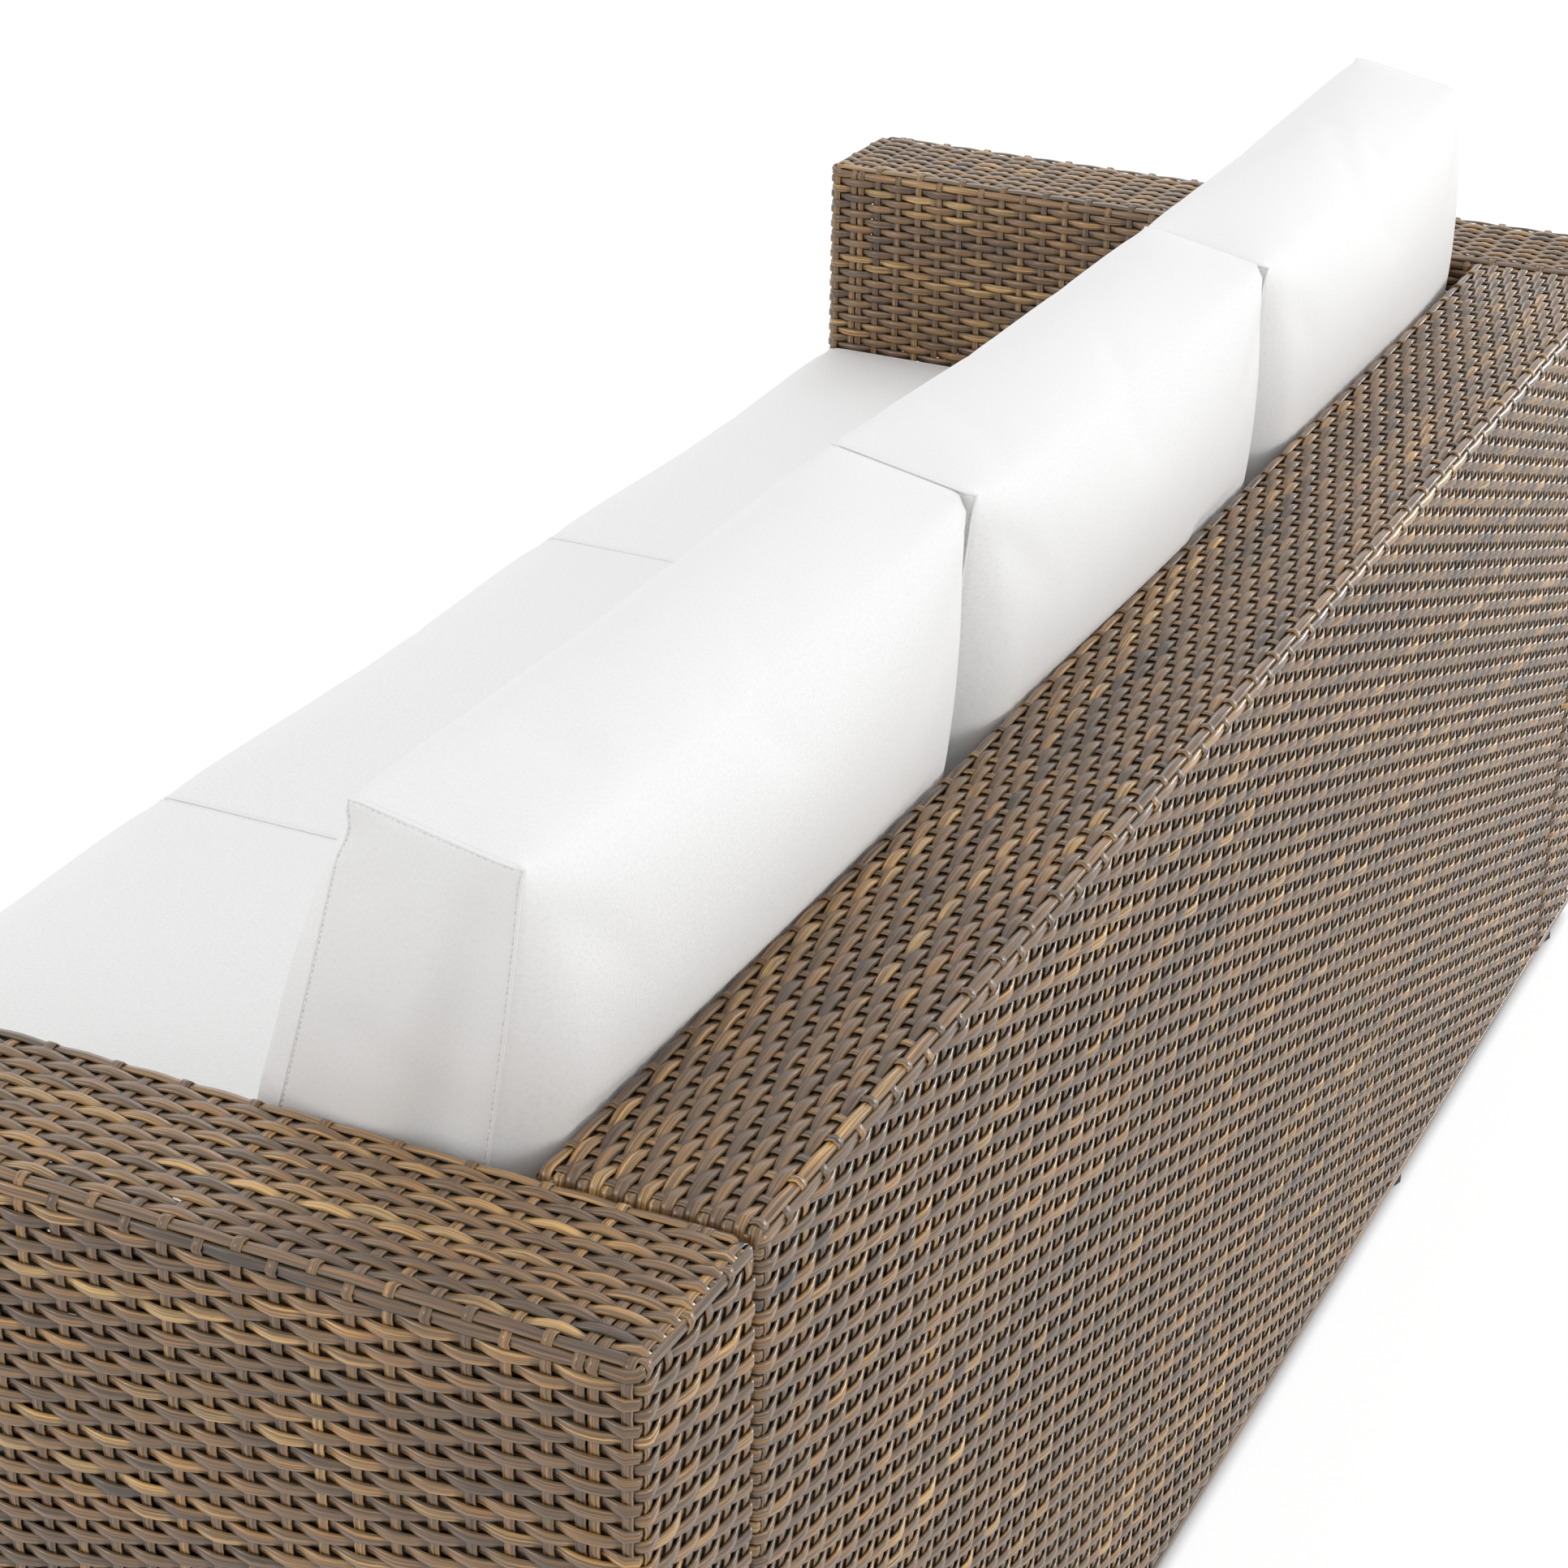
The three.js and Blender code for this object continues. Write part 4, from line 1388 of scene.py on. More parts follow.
@dataclass
class WovenBack(WovenModule):
    """The back: weavers along its length on the outer face, the top and the inner face.

    Attributes:
        stake_count: Stakes along the length, which run on over the top.
        first_stake: From an end to the first stake.
        top_count: Weavers along the top.
        corner_height: How far out every weaver lies where it turns round an end.
    """

    stake_count: int = 79
    first_stake: float = 9.0 * MM
    top_count: int = 18
    corner_height: float = 0.3

    def __post_init__(self) -> None:
        """Takes the back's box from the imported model."""
        low, high = (Vector(c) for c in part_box("back_weave"))
        skin = self.inset
        self.half = high.x - skin
        self.face, self.rear = low.y + skin, high.y - skin
        self.base, self.top = low.z + skin, high.z - skin
        self.rows = self.heights(high.z)
        self.stakes = spaced(low.x + self.first_stake, high.x - self.first_stake, self.stake_count)
        self.top_weavers = self.top_places(low.y, high.y, self.top_count)

    def _round_ends(self, side: int, level: float, turn: float) -> Route:
        """The route of a face's weavers, along the face and round both of its ends.

        Args:
            side: 1 where it starts at the sitter's left and -1 at the right.
            level: Where the face stands.
            turn: How far the route's ends reach past the level, with their direction.

        Returns:
            The route.
        """
        start, end = side * self.half, -side * self.half
        corners = [(start, level + turn), (start, level), (end, level), (end, level + turn)]
        return Route(corners, self.corner)

    def _long_strands(
        self,
        shop: "Workshop",
        name: str,
        route: Route,
        plane: Plane,
        level: float,
        strands: Iterable[tuple[int, float, int]],
        section: StrandSection = WEAVER,
    ) -> None:
        """Weaves strands along the length.

        Args:
            shop: The workshop.
            name: The piece's name.
            route: The route that all of them take.
            plane: The route's plane.
            level: Where the face stands that they run along.
            strands: Each strand's number in the order that the stakes meet them, its place
                across the plane, and the way that it leans if it is a border strand, or 0.
            section: The strands' section.
        """
        bundle = StrandBundle(section, shop.rng)
        places = sorted((route.nearest((x, level)), i) for i, x in enumerate(self.stakes))
        turns = route.bend_marks()[[1, 4]]
        lowest = float(self.rows[0])
        for number, across, lean in strands:
            crossings = [Crossing(0.0, -1.0), Crossing(turns[0], self.corner_height)]
            crossings += [
                Crossing(at, self.weaver_height(parity(i + number), lean != 0, across == lowest))
                for at, i in places
            ]
            crossings += [Crossing(turns[1], self.corner_height), Crossing(route.length, -1.0)]
            girth = self.border_girth if lean else 1.0
            bundle.lay(route, plane, across, crossings, girth, tilt=lean * self.border_tilt)
        shop.weave(bundle, name, "back_weave")

    def build(self, shop: "Workshop") -> None:
        """Weaves the whole back."""
        count = self.weaver_count
        last = count - 1
        split = count // 2
        outer = self._round_ends(-1, self.rear, -self.tuck)
        over = self._round_ends(-1, self.top, -self.tuck)
        inner = self._round_ends(1, self.face, self.tuck)
        numbered = [(k, float(z), int(k == last)) for k, z in enumerate(self.rows)]
        for label, part in (("lower", numbered[:split]), ("upper", numbered[split:])):
            name = f"back_outer_weavers_{label}"
            self._long_strands(shop, name, outer, Plane.XY, self.rear, part)
        top = [
            (count + j, float(y), (j == 0) - (j == self.top_count - 1))
            for j, y in enumerate(self.top_weavers[::-1])
        ]
        self._long_strands(shop, "back_top_weavers", over, Plane.XZ, self.top, top)
        first = count + self.top_count
        numbered = [(first + last - k, z, lean) for k, z, lean in numbered]
        for label, part in (("lower", numbered[:split]), ("upper", numbered[split:])):
            name = f"back_inner_weavers_{label}"
            self._long_strands(shop, name, inner, Plane.XY, self.face, part, PLAIN_WEAVER)
        self.set_stakes(shop)

    def set_stakes(self, shop: "Workshop") -> None:
        """Sets the stakes, which run up the outer face, over the top and down the inner face."""
        route, met = self.over_route(self.rear, self.face)
        half = self.stake_count // 2
        for label, numbers in (("right", range(half)), ("left", range(half, self.stake_count))):
            bundle = StrandBundle(STAKE, shop.rng)
            for i in numbers:
                crossings = self.stake_crossings(route, i, met)
                bundle.lay(route, Plane.YZ, float(self.stakes[i]), crossings)
            shop.weave(bundle, f"back_stakes_{label}", "back_weave")


@dataclass
class WovenSeat(WovenModule):
    """The seat: the apron's weavers, the open-woven deck's, and the stakes that both share.

    Attributes:
        stake_count: Stakes along the length.
        first_stake: From an end to the first stake.
        weaver_count: Weavers of the apron.
        deck_count: Weavers of the deck, which stand apart so that it drains.
        deck_margin: From the deck's front and rear to its first and last weaver.
    """

    stake_count: int = 79
    first_stake: float = 10.0 * MM
    weaver_count: int = 47
    deck_count: int = 42
    deck_margin: float = 9.0 * MM

    def __post_init__(self) -> None:
        """Takes the seat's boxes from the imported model."""
        low, high = (Vector(c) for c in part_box("apron_weave"))
        deck_low, deck_high = (Vector(c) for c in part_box("deck_weave"))
        skin = self.inset
        self.half = high.x - skin
        self.front, self.rear = low.y + skin, deck_high.y - skin
        self.base, self.top = low.z + skin, deck_high.z - skin
        self.rows = self.heights(deck_high.z)
        self.stakes = spaced(low.x + self.first_stake, high.x - self.first_stake, self.stake_count)
        self.deck_rows = spaced(
            deck_low.y + self.deck_margin, deck_high.y - self.deck_margin, self.deck_count
        )

    def build(self, shop: "Workshop") -> None:
        """Weaves the apron and the deck."""
        half, tuck = self.half, self.tuck
        end = self.front + tuck
        corners = [(-half, end), (-half, self.front), (half, self.front), (half, end)]
        face = Route(corners, self.corner, outside=-1)
        apron = StrandBundle(PLAIN_WEAVER, shop.rng)
        places = [face.nearest((float(x), self.front)) for x in self.stakes]
        for k, z in enumerate(self.rows):
            crossings = [Crossing(at, float(parity(i + k))) for i, at in enumerate(places)]
            apron.lay(face, Plane.XY, float(z), tucked(face, crossings))
        shop.weave(apron, "apron_weavers", "apron_weave")
        flat = Route([(-half, self.top), (half, self.top)], self.corner)
        deck = StrandBundle(DECK_WEAVER, shop.rng)
        places = [flat.nearest((float(x), self.top)) for x in self.stakes]
        for k, y in enumerate(self.deck_rows):
            number = self.weaver_count + k
            crossings = [Crossing(at, float(parity(i + number))) for i, at in enumerate(places)]
            deck.lay(flat, Plane.XZ, float(y), tucked(flat, crossings))
        shop.weave(deck, "deck_weavers", "deck_weave")
        self.set_stakes(shop)

    def set_stakes(self, shop: "Workshop") -> None:
        """Sets the stakes, which run up the apron, over its edge and back along the deck."""
        corners = [(self.front + self.hem, self.base), (self.front, self.base)]
        corners += [(self.front, self.top), (self.rear, self.top)]
        route = Route(corners, self.corner)
        met = [route.nearest((self.front, z)) for z in self.rows]
        met += [route.nearest((y, self.top)) for y in self.deck_rows]
        bundle = StrandBundle(STAKE, shop.rng)
        for i, x in enumerate(self.stakes):
            crossings = [Crossing(0.0, -1.0)]
            crossings += [Crossing(at, -float(parity(i + q))) for q, at in enumerate(met)]
            bundle.lay(route, Plane.YZ, float(x), crossings)
        shop.weave(bundle, "seat_stakes", "apron_weave", "deck_weave")


def lattice(
    cells: tuple[int, int, int], extents: Sequence[float]
) -> tuple[np.ndarray, np.ndarray, np.ndarray]:
    """The closed lattice of a boxed cushion's six panels.

    Args:
        cells: Cells across, through the depth and up.
        extents: The cushion's size on the three axes.

    Returns:
        The vertices' places from -1 to 1 on the three axes, the quads, and the cloth
        coordinates of each quad's corners on its own panel, in metres.
    """
    keys, quads, corners = [], [], []
    base = 0
    for k in range(3):
        u, v = (k + 1) % 3, (k + 2) % 3
        columns, rows = cells[u] + 1, cells[v] + 1
        for side in (0, 1):
            grid_u, grid_v = np.meshgrid(np.arange(columns), np.arange(rows), indexing="ij")
            key = np.zeros((columns * rows, 3), int)
            key[:, k] = side * cells[k]
            key[:, u], key[:, v] = grid_u.ravel(), grid_v.ravel()
            keys.append(key)
            first = (grid_u[:-1, :-1] * rows + grid_v[:-1, :-1]).ravel()
            quad = np.stack([first, first + rows, first + rows + 1, first + 1], 1)
            quad = quad if side else quad[:, ::-1]
            quads.append(quad + base)
            share = np.stack([grid_u.ravel() / cells[u], grid_v.ravel() / cells[v]], 1)
            corners.append((share * (extents[u], extents[v]))[quad])
            base += columns * rows
    every = np.concatenate(keys)
    merged, index = np.unique(every, axis=0, return_inverse=True)
    places = merged / (np.array(cells) / 2) - 1
    return places, index.ravel()[np.concatenate(quads)], np.concatenate(corners)


def near(values: np.ndarray, place: float, reach: float) -> np.ndarray:
    """A smooth hump of height 1 at a place, which has faded to 0.37 one reach away."""
    return np.exp(-(((values - place) / reach) ** 2))


def swell(t: np.ndarray, exponent: float = 0.75) -> np.ndarray:
    """How far a crown has risen across a panel: nothing at both seams and 1 in the middle."""
    return np.maximum(1 - t * t, 0) ** exponent


# How far in from the seam, as a share of a cell, and how far off the cloth a line is sewn.
SEAM_RIDGE = (0.0, -0.5 * MM)
STITCH_ROW = (0.22, 0.2 * MM)
STITCH_SIZES = {"Pitch": 3.6 * MM, "Stitch length": 2.6 * MM, "Thread radius": 0.38 * MM}
# While the filling blows a cover up: the frames, the cloth and how its wrinkles are eased.
SIMULATED_FRAMES = 20
CLOTH_SETTINGS = {
    "quality": 6,
    "mass": 0.25,
    "tension_stiffness": 18,
    "compression_stiffness": 18,
    "shear_stiffness": 8,
    "bending_stiffness": 0.6,
    "air_damping": 3,
    "use_pressure": True,
    "vertex_group_mass": "held",
}
EASING = {"factor": 0.5, "iterations": 6, "vertex_group": "held", "invert_vertex_group": True}


@dataclass
class Cushion:
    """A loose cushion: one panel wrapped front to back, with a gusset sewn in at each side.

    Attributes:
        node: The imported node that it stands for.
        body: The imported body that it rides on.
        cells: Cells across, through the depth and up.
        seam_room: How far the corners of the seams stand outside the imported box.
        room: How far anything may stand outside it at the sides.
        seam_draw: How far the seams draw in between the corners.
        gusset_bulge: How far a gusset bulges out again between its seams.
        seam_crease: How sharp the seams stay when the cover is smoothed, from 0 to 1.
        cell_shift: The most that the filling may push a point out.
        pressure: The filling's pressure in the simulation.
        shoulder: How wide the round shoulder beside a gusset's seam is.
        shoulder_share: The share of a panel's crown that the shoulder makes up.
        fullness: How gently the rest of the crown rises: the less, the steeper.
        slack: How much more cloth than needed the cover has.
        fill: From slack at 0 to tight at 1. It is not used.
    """

    node: str
    body: str
    cells: tuple[int, int, int] = (56, 14, 58)
    seam_room: float = 0.9 * MM
    room: float = 1.3 * MM
    seam_draw: float = 8 * MM
    gusset_bulge: float = 8 * MM
    seam_crease: float = 0.4
    cell_shift: float = 11 * MM
    pressure: float = 1.6
    shoulder: float = 46 * MM
    shoulder_share: float = 0.9
    fullness: float = 0.75
    slack: float = 0.003
    fill: float = 0.75

    def __post_init__(self) -> None:
        """Takes the cushion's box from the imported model."""
        low, high = (Vector(c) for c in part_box(self.node))
        self.low, self.high = low, high
        self.middle = (low.x + high.x) / 2
        self.half_width = (high.x - low.x) / 2

    def crowned(self, a: np.ndarray) -> np.ndarray:
        """How far a panel has risen across the cushion: a round shoulder, then a crown."""
        inward = np.clip((1 - np.abs(a)) * self.half_width / self.shoulder, 0, 1)
        rounded = np.sqrt(1 - (1 - inward) ** 2)
        share = self.shoulder_share
        return share * rounded + (1 - share) * swell(a, self.fullness)

    def across(self, a: np.ndarray, seam: np.ndarray, through: np.ndarray) -> np.ndarray:
        """The x of points, with drawn-in seams and bulging gussets."""
        drawn = self.half_width + self.seam_room - self.seam_draw * swell(seam)
        bulge = self.gusset_bulge * swell(through) * swell(seam)
        return self.middle + a * (drawn + bulge)

    def place(self, a: np.ndarray, b: np.ndarray, c: np.ndarray) -> np.ndarray:
        """Turns lattice places to points."""
        raise NotImplementedError

    def seam(self, a: np.ndarray, b: np.ndarray, c: np.ndarray) -> np.ndarray:
        """Which points lie on the seams round the two gussets."""
        return (np.abs(a) == 1) & ((np.abs(b) == 1) | (np.abs(c) == 1))

    def held(self, a: np.ndarray, b: np.ndarray, c: np.ndarray) -> np.ndarray:
        """Which points the seams and what lies against the cushion hold still."""
        raise NotImplementedError

    def settle(self, points: np.ndarray) -> np.ndarray:
        """Keeps the filled shape clear of its neighbours and above what it lies on."""
        points = points.copy()
        reach = self.half_width + self.room
        points[:, 0] = self.middle + np.clip(points[:, 0] - self.middle, -reach, reach)
        points[:, 2] = np.maximum(points[:, 2], self.low.z)
        return points

    def cover(self) -> bpy.types.Object:
        """Makes the cover's mesh before it is filled.

        Returns:
            The object, with its cloth coordinates and the group of held points.
        """
        places, quads, cloth_places = lattice(self.cells, tuple(self.high - self.low))
        a, b, c = places.T
        self.places = places
        points = self.place(a, b, c)
        mesh = bpy.data.meshes.new(self.node)
        mesh.from_pydata(points.tolist(), [], quads.tolist())
        mesh.polygons.foreach_set("use_smooth", np.ones(len(quads), bool))
        mesh.update(calc_edges=True)
        cloth = mesh.uv_layers.new(name="cloth")
        cloth.data.foreach_set("uv", cloth_places.astype(np.float32).ravel())
        edges = np.empty(len(mesh.edges) * 2, np.int32)
        mesh.edges.foreach_get("vertices", edges)
        sewn = self.seam(a, b, c)[edges.reshape(-1, 2)].all(1)
        crease = mesh.attributes.new("crease_edge", "FLOAT", "EDGE")
        crease.data.foreach_set("value", sewn.astype(np.float32) * self.seam_crease)
        obj = placed(self.node + "_cover", mesh)
        group = obj.vertex_groups.new(name="held")
        group.add(np.flatnonzero(self.held(a, b, c)).tolist(), 1.0, "REPLACE")
        self.obj, self.start = obj, points
        return obj

    def fill_cover(self) -> None:
        """Adds the cloth that the filling blows up."""
        cloth = self.obj.modifiers.new("Filling", "CLOTH")
        for name, value in CLOTH_SETTINGS.items():
            setattr(cloth.settings, name, value)
        cloth.settings.uniform_pressure_force = self.pressure
        cloth.settings.effector_weights.gravity = 0
        cloth.settings.shrink_min = -self.slack
        ironed = self.obj.modifiers.new("Wrinkles eased", "SMOOTH")
        for name, value in EASING.items():
            setattr(ironed, name, value)

    def take_shape(self) -> None:
        """Keeps the simulated shape, capped, and removes the cloth."""
        depsgraph = bpy.context.evaluated_depsgraph_get()
        evaluated = self.obj.evaluated_get(depsgraph).data
        points = np.empty(len(self.start) * 3, np.float32)
        evaluated.vertices.foreach_get("co", points)
        shift = points.reshape(-1, 3).astype(float) - self.start
        reach = np.linalg.norm(shift, axis=1, keepdims=True)
        shift *= np.minimum(1, self.cell_shift / np.maximum(reach, 1e-9))
        self.shape = self.start + shift
        self.obj.modifiers.clear()

    def finish(self, shop: "Workshop") -> None:
        """Settles and smooths the cushion, sews it and hands it to its body."""
        points = self.settle(getattr(self, "shape", self.start))
        self.obj.data.vertices.foreach_set("co", points.astype(np.float32).ravel())
        self.obj.vertex_groups.clear()
        smooth = self.obj.modifiers.new("Cloth round", "SUBSURF")
        smooth.levels = smooth.render_levels = 1
        mesh = evaluated_mesh(self.obj)
        self.obj.modifiers.clear()
        self.obj.data = mesh
        self.obj.name = mesh.name = self.node + "_padded"
        mesh.materials.clear()
        mesh.materials.append(shop.paints[Finish.CLOTH])
        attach(self.obj, self.body)
        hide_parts(self.node)
        report(self.obj, "cover")
        self.sew(shop)

    def seam_loop(self, side: int, inward: float, lift: float) -> tuple[np.ndarray, np.ndarray]:
        """The closed line of points along one gusset's seam.

        Args:
            side: 1 for the gusset at +X and -1 for the other.
            inward: From the seam at 0 to the next row of the gusset at 1.
            lift: How far the line stands off the cloth.

        Returns:
            The points in order, and the direction outwards at each.
        """
        count = len(self.places)
        points = np.empty(len(self.obj.data.vertices) * 3, np.float32)
        self.obj.data.vertices.foreach_get("co", points)
        points = points.reshape(-1, 3)[:count]
        keys = np.rint((self.places + 1) * np.array(self.cells) / 2).astype(int)
        index = {tuple(key): n for n, key in enumerate(keys)}
        deep, high = self.cells[1], self.cells[2]
        rim = [(i, 0) for i in range(deep)] + [(deep, j) for j in range(high)]
        rim += [(i, high) for i in range(deep, 0, -1)] + [(0, j) for j in range(high, 0, -1)]
        end = self.cells[0] if side > 0 else 0
        outer = np.array([points[index[(end, i, j)]] for i, j in rim])
        next_in = [(min(max(i, 1), deep - 1), min(max(j, 1), high - 1)) for i, j in rim]
        inner = np.array([points[index[(end, i, j)]] for i, j in next_in])
        away = outer - inner
        away /= np.linalg.norm(away, axis=1, keepdims=True)
        if inward:
            away = away * 0
        outward = away + np.array([side, 0.0, 0.0])
        outward /= np.linalg.norm(outward, axis=1, keepdims=True)
        return outer + (inner - outer) * inward + outward * lift, outward

    def sew(self, shop: "Workshop") -> None:
        """Lays the seam's ridge and its row of stitches round both gussets."""
        seam, row = StrandBundle(SEAM, shop.rng), StrandBundle(SEAM, shop.rng)
        for side in (-1, 1):
            seam.lay_loop(*self.seam_loop(side, *SEAM_RIDGE))
            row.lay_loop(*self.seam_loop(side, *STITCH_ROW))
        ridge = seam.make(self.node + "_seams", shop.strands, shop.paints[Finish.CLOTH])
        stitches = row.guide(self.node + "_stitches")
        sizes = STITCH_SIZES | {"Thread material": shop.paints[Finish.THREAD]}
        grow(stitches, shop.stitches, sizes)
        for piece in (ridge, stitches):
            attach(piece, self.body)
            report(piece, "sewing")


@dataclass
class SeatCushion(Cushion):
    """A seat cushion: crowned in front, and pressed flat under the back cushion.

    Attributes:
        thickness: Its thickness at the seams.
        crown: How far its top rises between them.
        corner_draw: How far its front corners are drawn in.
        pressed_from: Where the back cushion stands on it.
        crowned_share: The share of its cells in front of that.
    """

    cells: tuple[int, int, int] = (48, 52, 12)
    seam_draw: float = -1.0 * MM
    gusset_bulge: float = 0.6 * MM
    shoulder_share: float = 0.0
    fullness: float = 1.1
    corner_draw: float = 4 * MM
    thickness: float = 122 * MM
    crown: float = 18 * MM
    pressed_from: float = 47.7 * MM
    crowned_share: float = 0.75

    def place(self, a: np.ndarray, b: np.ndarray, c: np.ndarray) -> np.ndarray:
        """Turns lattice places to points."""
        run = (b + 1) / 2
        share = self.crowned_share
        drawn = (self.seam_draw - self.gusset_bulge * swell(c)) * swell(a)
        front = self.low.y + drawn + self.corner_draw * np.abs(a) ** 24
        rear = self.high.y - drawn
        crowned = front + (self.pressed_from - front) * np.minimum(run / share, 1)
        pressed = (rear - self.pressed_from) * np.maximum(run - share, 0) / (1 - share)
        rise = self.crown * self.crowned(a) * swell(np.clip(2 * run / share - 1, -1, 1))
        z = self.low.z + self.thickness * (c + 1) / 2 + np.maximum(c, 0) * rise
        return np.stack([self.across(a, b, c), crowned + pressed, z], 1)

    def held(self, a: np.ndarray, b: np.ndarray, c: np.ndarray) -> np.ndarray:
        """The seams, the underside, the rear, and the top under the back cushion."""
        pressed = (c == 1) & (b > 2 * self.crowned_share - 1 - 0.02)
        return self.seam(a, b, c) | (c == -1) | (b == 1) | pressed

    def settle(self, points: np.ndarray) -> np.ndarray:
        """Keeps the cushion above the deck and clear of its neighbours and of the back."""
        points = super().settle(points)
        points[:, 1] = np.minimum(points[:, 1], self.high.y)
        return points


@dataclass
class BackCushion(Cushion):
    """A back cushion: thick at the foot, slim at the head, leaning on the back's inner edge.

    Attributes:
        rear_foot: Where its rear seam stands.
        foot: Its thickness at the foot.
        head: Its thickness at the head.
        lean: How far the head stands behind the foot.
        rear_height: The height of its rear seam.
        front_height: The height of its front seam.
        front_crown: How far its front is crowned.
        rear_crown: How far its rear is crowned.
        head_crown: How far its head is crowned.
        rest_face: Where the woven back's inner face stands.
        rest_top: How high that face reaches.
        hollow: How deep the slanting hollow in a gusset is, where the filling has sunk.
        notch: How far the front seam is puckered in just under its upper corner.
        fold: How deep the little fold beside the rear upper corner is.
        slump: How much lower its head has sunk at its left and at its right end.
        forward: How much further forward its head leans at its left and at its right end.
        tip: How far its left rear upper corner pokes out.
        tuck: How far its right rear upper corner is rounded off.
        corner_rise: How far those two corners move up or down, as a share of that.
    """

    cells: tuple[int, int, int] = (60, 14, 40)
    rear_foot: float = 187.7 * MM
    foot: float = 140 * MM
    head: float = 94 * MM
    lean: float = 50 * MM
    rear_height: float = 335 * MM
    front_height: float = 353 * MM
    front_crown: float = 30 * MM
    rear_crown: float = 30 * MM
    head_crown: float = 5 * MM
    rest_face: float = 242.2 * MM
    rest_top: float = 661.0 * MM
    hollow: float = 9 * MM
    notch: float = 5 * MM
    fold: float = 2.5 * MM
    slump: tuple[float, float] = (0.0, 0.0)
    forward: tuple[float, float] = (0.0, 0.0)
    tip: float = 5 * MM
    tuck: float = 5 * MM
    corner_rise: float = 0.6

    def place(self, a: np.ndarray, b: np.ndarray, c: np.ndarray) -> np.ndarray:
        """Turns lattice places to points."""
        rise, depth = (c + 1) / 2, (b + 1) / 2
        front_foot, rear_head = self.rear_foot - self.foot, self.rear_foot + self.lean
        front = front_foot + (rear_head - self.head - front_foot) * rise
        rear = self.rear_foot + self.lean * rise
        heights = self.front_height + (self.rear_height - self.front_height) * depth
        crown = np.where(b > 0, self.rear_crown, self.front_crown) * self.crowned(a) * swell(c)
        y = front + (rear - front) * depth + b * crown
        z = self.low.z + heights * rise + self.head_crown * np.maximum(c, 0) * swell(a) * swell(b)
        slump, forward = (
            left + (right - left) * (1 - a) / 2 for left, right in (self.slump, self.forward)
        )
        return np.stack([self.across(a, c, b), y - forward * rise, z - slump * rise], 1)

    def held(self, a: np.ndarray, b: np.ndarray, c: np.ndarray) -> np.ndarray:
        """The seams and the foot."""
        return self.seam(a, b, c) | (c == -1)

    def settle(self, points: np.ndarray) -> np.ndarray:
        """Keeps the cushion on its seat cushion, and its rear against the woven back."""
        points = points.copy()
        a, b, c = self.places.T
        side = np.sign(a) * (np.abs(a) == 1)
        sunk = near(b - 0.25 * c, 0.55, 0.35) * swell(b) * swell(c)
        points[:, 0] -= side * self.hollow * sunk
        pucker = near(c, 0.88, 0.045) * near(b, -1, 0.2) * near(np.abs(a), 1, 0.03)
        points[:, 0] -= np.sign(a) * self.notch / 3 * pucker
        points[:, 1] += self.notch * pucker
        crumple = near(np.abs(a), 0.955, 0.025) * near(c, 0.96, 0.05)
        points[:, 1] -= self.fold * crumple * (b == 1)
        corner = (b == 1) & (c == 1)
        points[corner & (a == 1)] += (0.0, self.tip, self.corner_rise * self.tip)
        points[corner & (a == -1)] += (self.tuck, -self.tuck, -self.corner_rise * self.tuck)
        points = super().settle(points)
        low = points[:, 2] < self.rest_top
        points[low, 1] = np.minimum(points[low, 1], self.rest_face)
        return points


def build_cushions(shop: "Workshop") -> None:
    """Makes the six cushions, filling them side by side in one simulation."""
    cushions: list[Cushion] = []
    # The three have settled differently: the heads sink and lean forward from left to right.
    for name, slump, forward in (
        ("left", (0.0, 4 * MM), (-4 * MM, 3 * MM)),
        ("centre", (4 * MM, 16 * MM), (2 * MM, 6 * MM)),
        ("right", (18 * MM, 16 * MM), (7 * MM, 20 * MM)),
    ):
        cushions.append(SeatCushion(f"seat_cushion_{name}", f"seat_{name}"))
        cushions.append(
            BackCushion(f"back_cushion_{name}", f"backrest_{name}", slump=slump, forward=forward)
        )
    for cushion in cushions:
        cushion.cover()
    for cushion in cushions:
        cushion.fill_cover()
    scene = bpy.context.scene
    for frame in range(1, SIMULATED_FRAMES + 1):
        scene.frame_set(frame)
    for cushion in cushions:
        cushion.take_shape()
    scene.frame_set(1)
    for cushion in cushions:
        cushion.finish(shop)


def dress_nodes(nodes: dict[str, bpy.types.Object], shop: "Workshop") -> None:
    """Gives the carried-over frames, feet and bolts their finishes.

    Args:
        nodes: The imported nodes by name.
        shop: The workshop.
    """
    kinds = {"frame": Finish.TUBE, "foot": Finish.FOOT, "bolt": Finish.BOLT}
    for name, node in nodes.items():
        finish = next((f for word, f in kinds.items() if word in name), None)
        if finish is None:
            continue
        for material_slot in node.material_slots:
            material_slot.link = "OBJECT"
            material_slot.material = shop.paints[finish]
        LOG.info("%s: %s", name, finish.name.lower())


@dataclass(frozen=True)
class Lamp:
    """A round lamp that faces the sofa.

    Attributes:
        name: What it is called.
        place: Where it stands.
        size: Its diameter.
        power: Its power in watts.
    """

    name: str
    place: tuple[float, float, float]
    size: float
    power: float


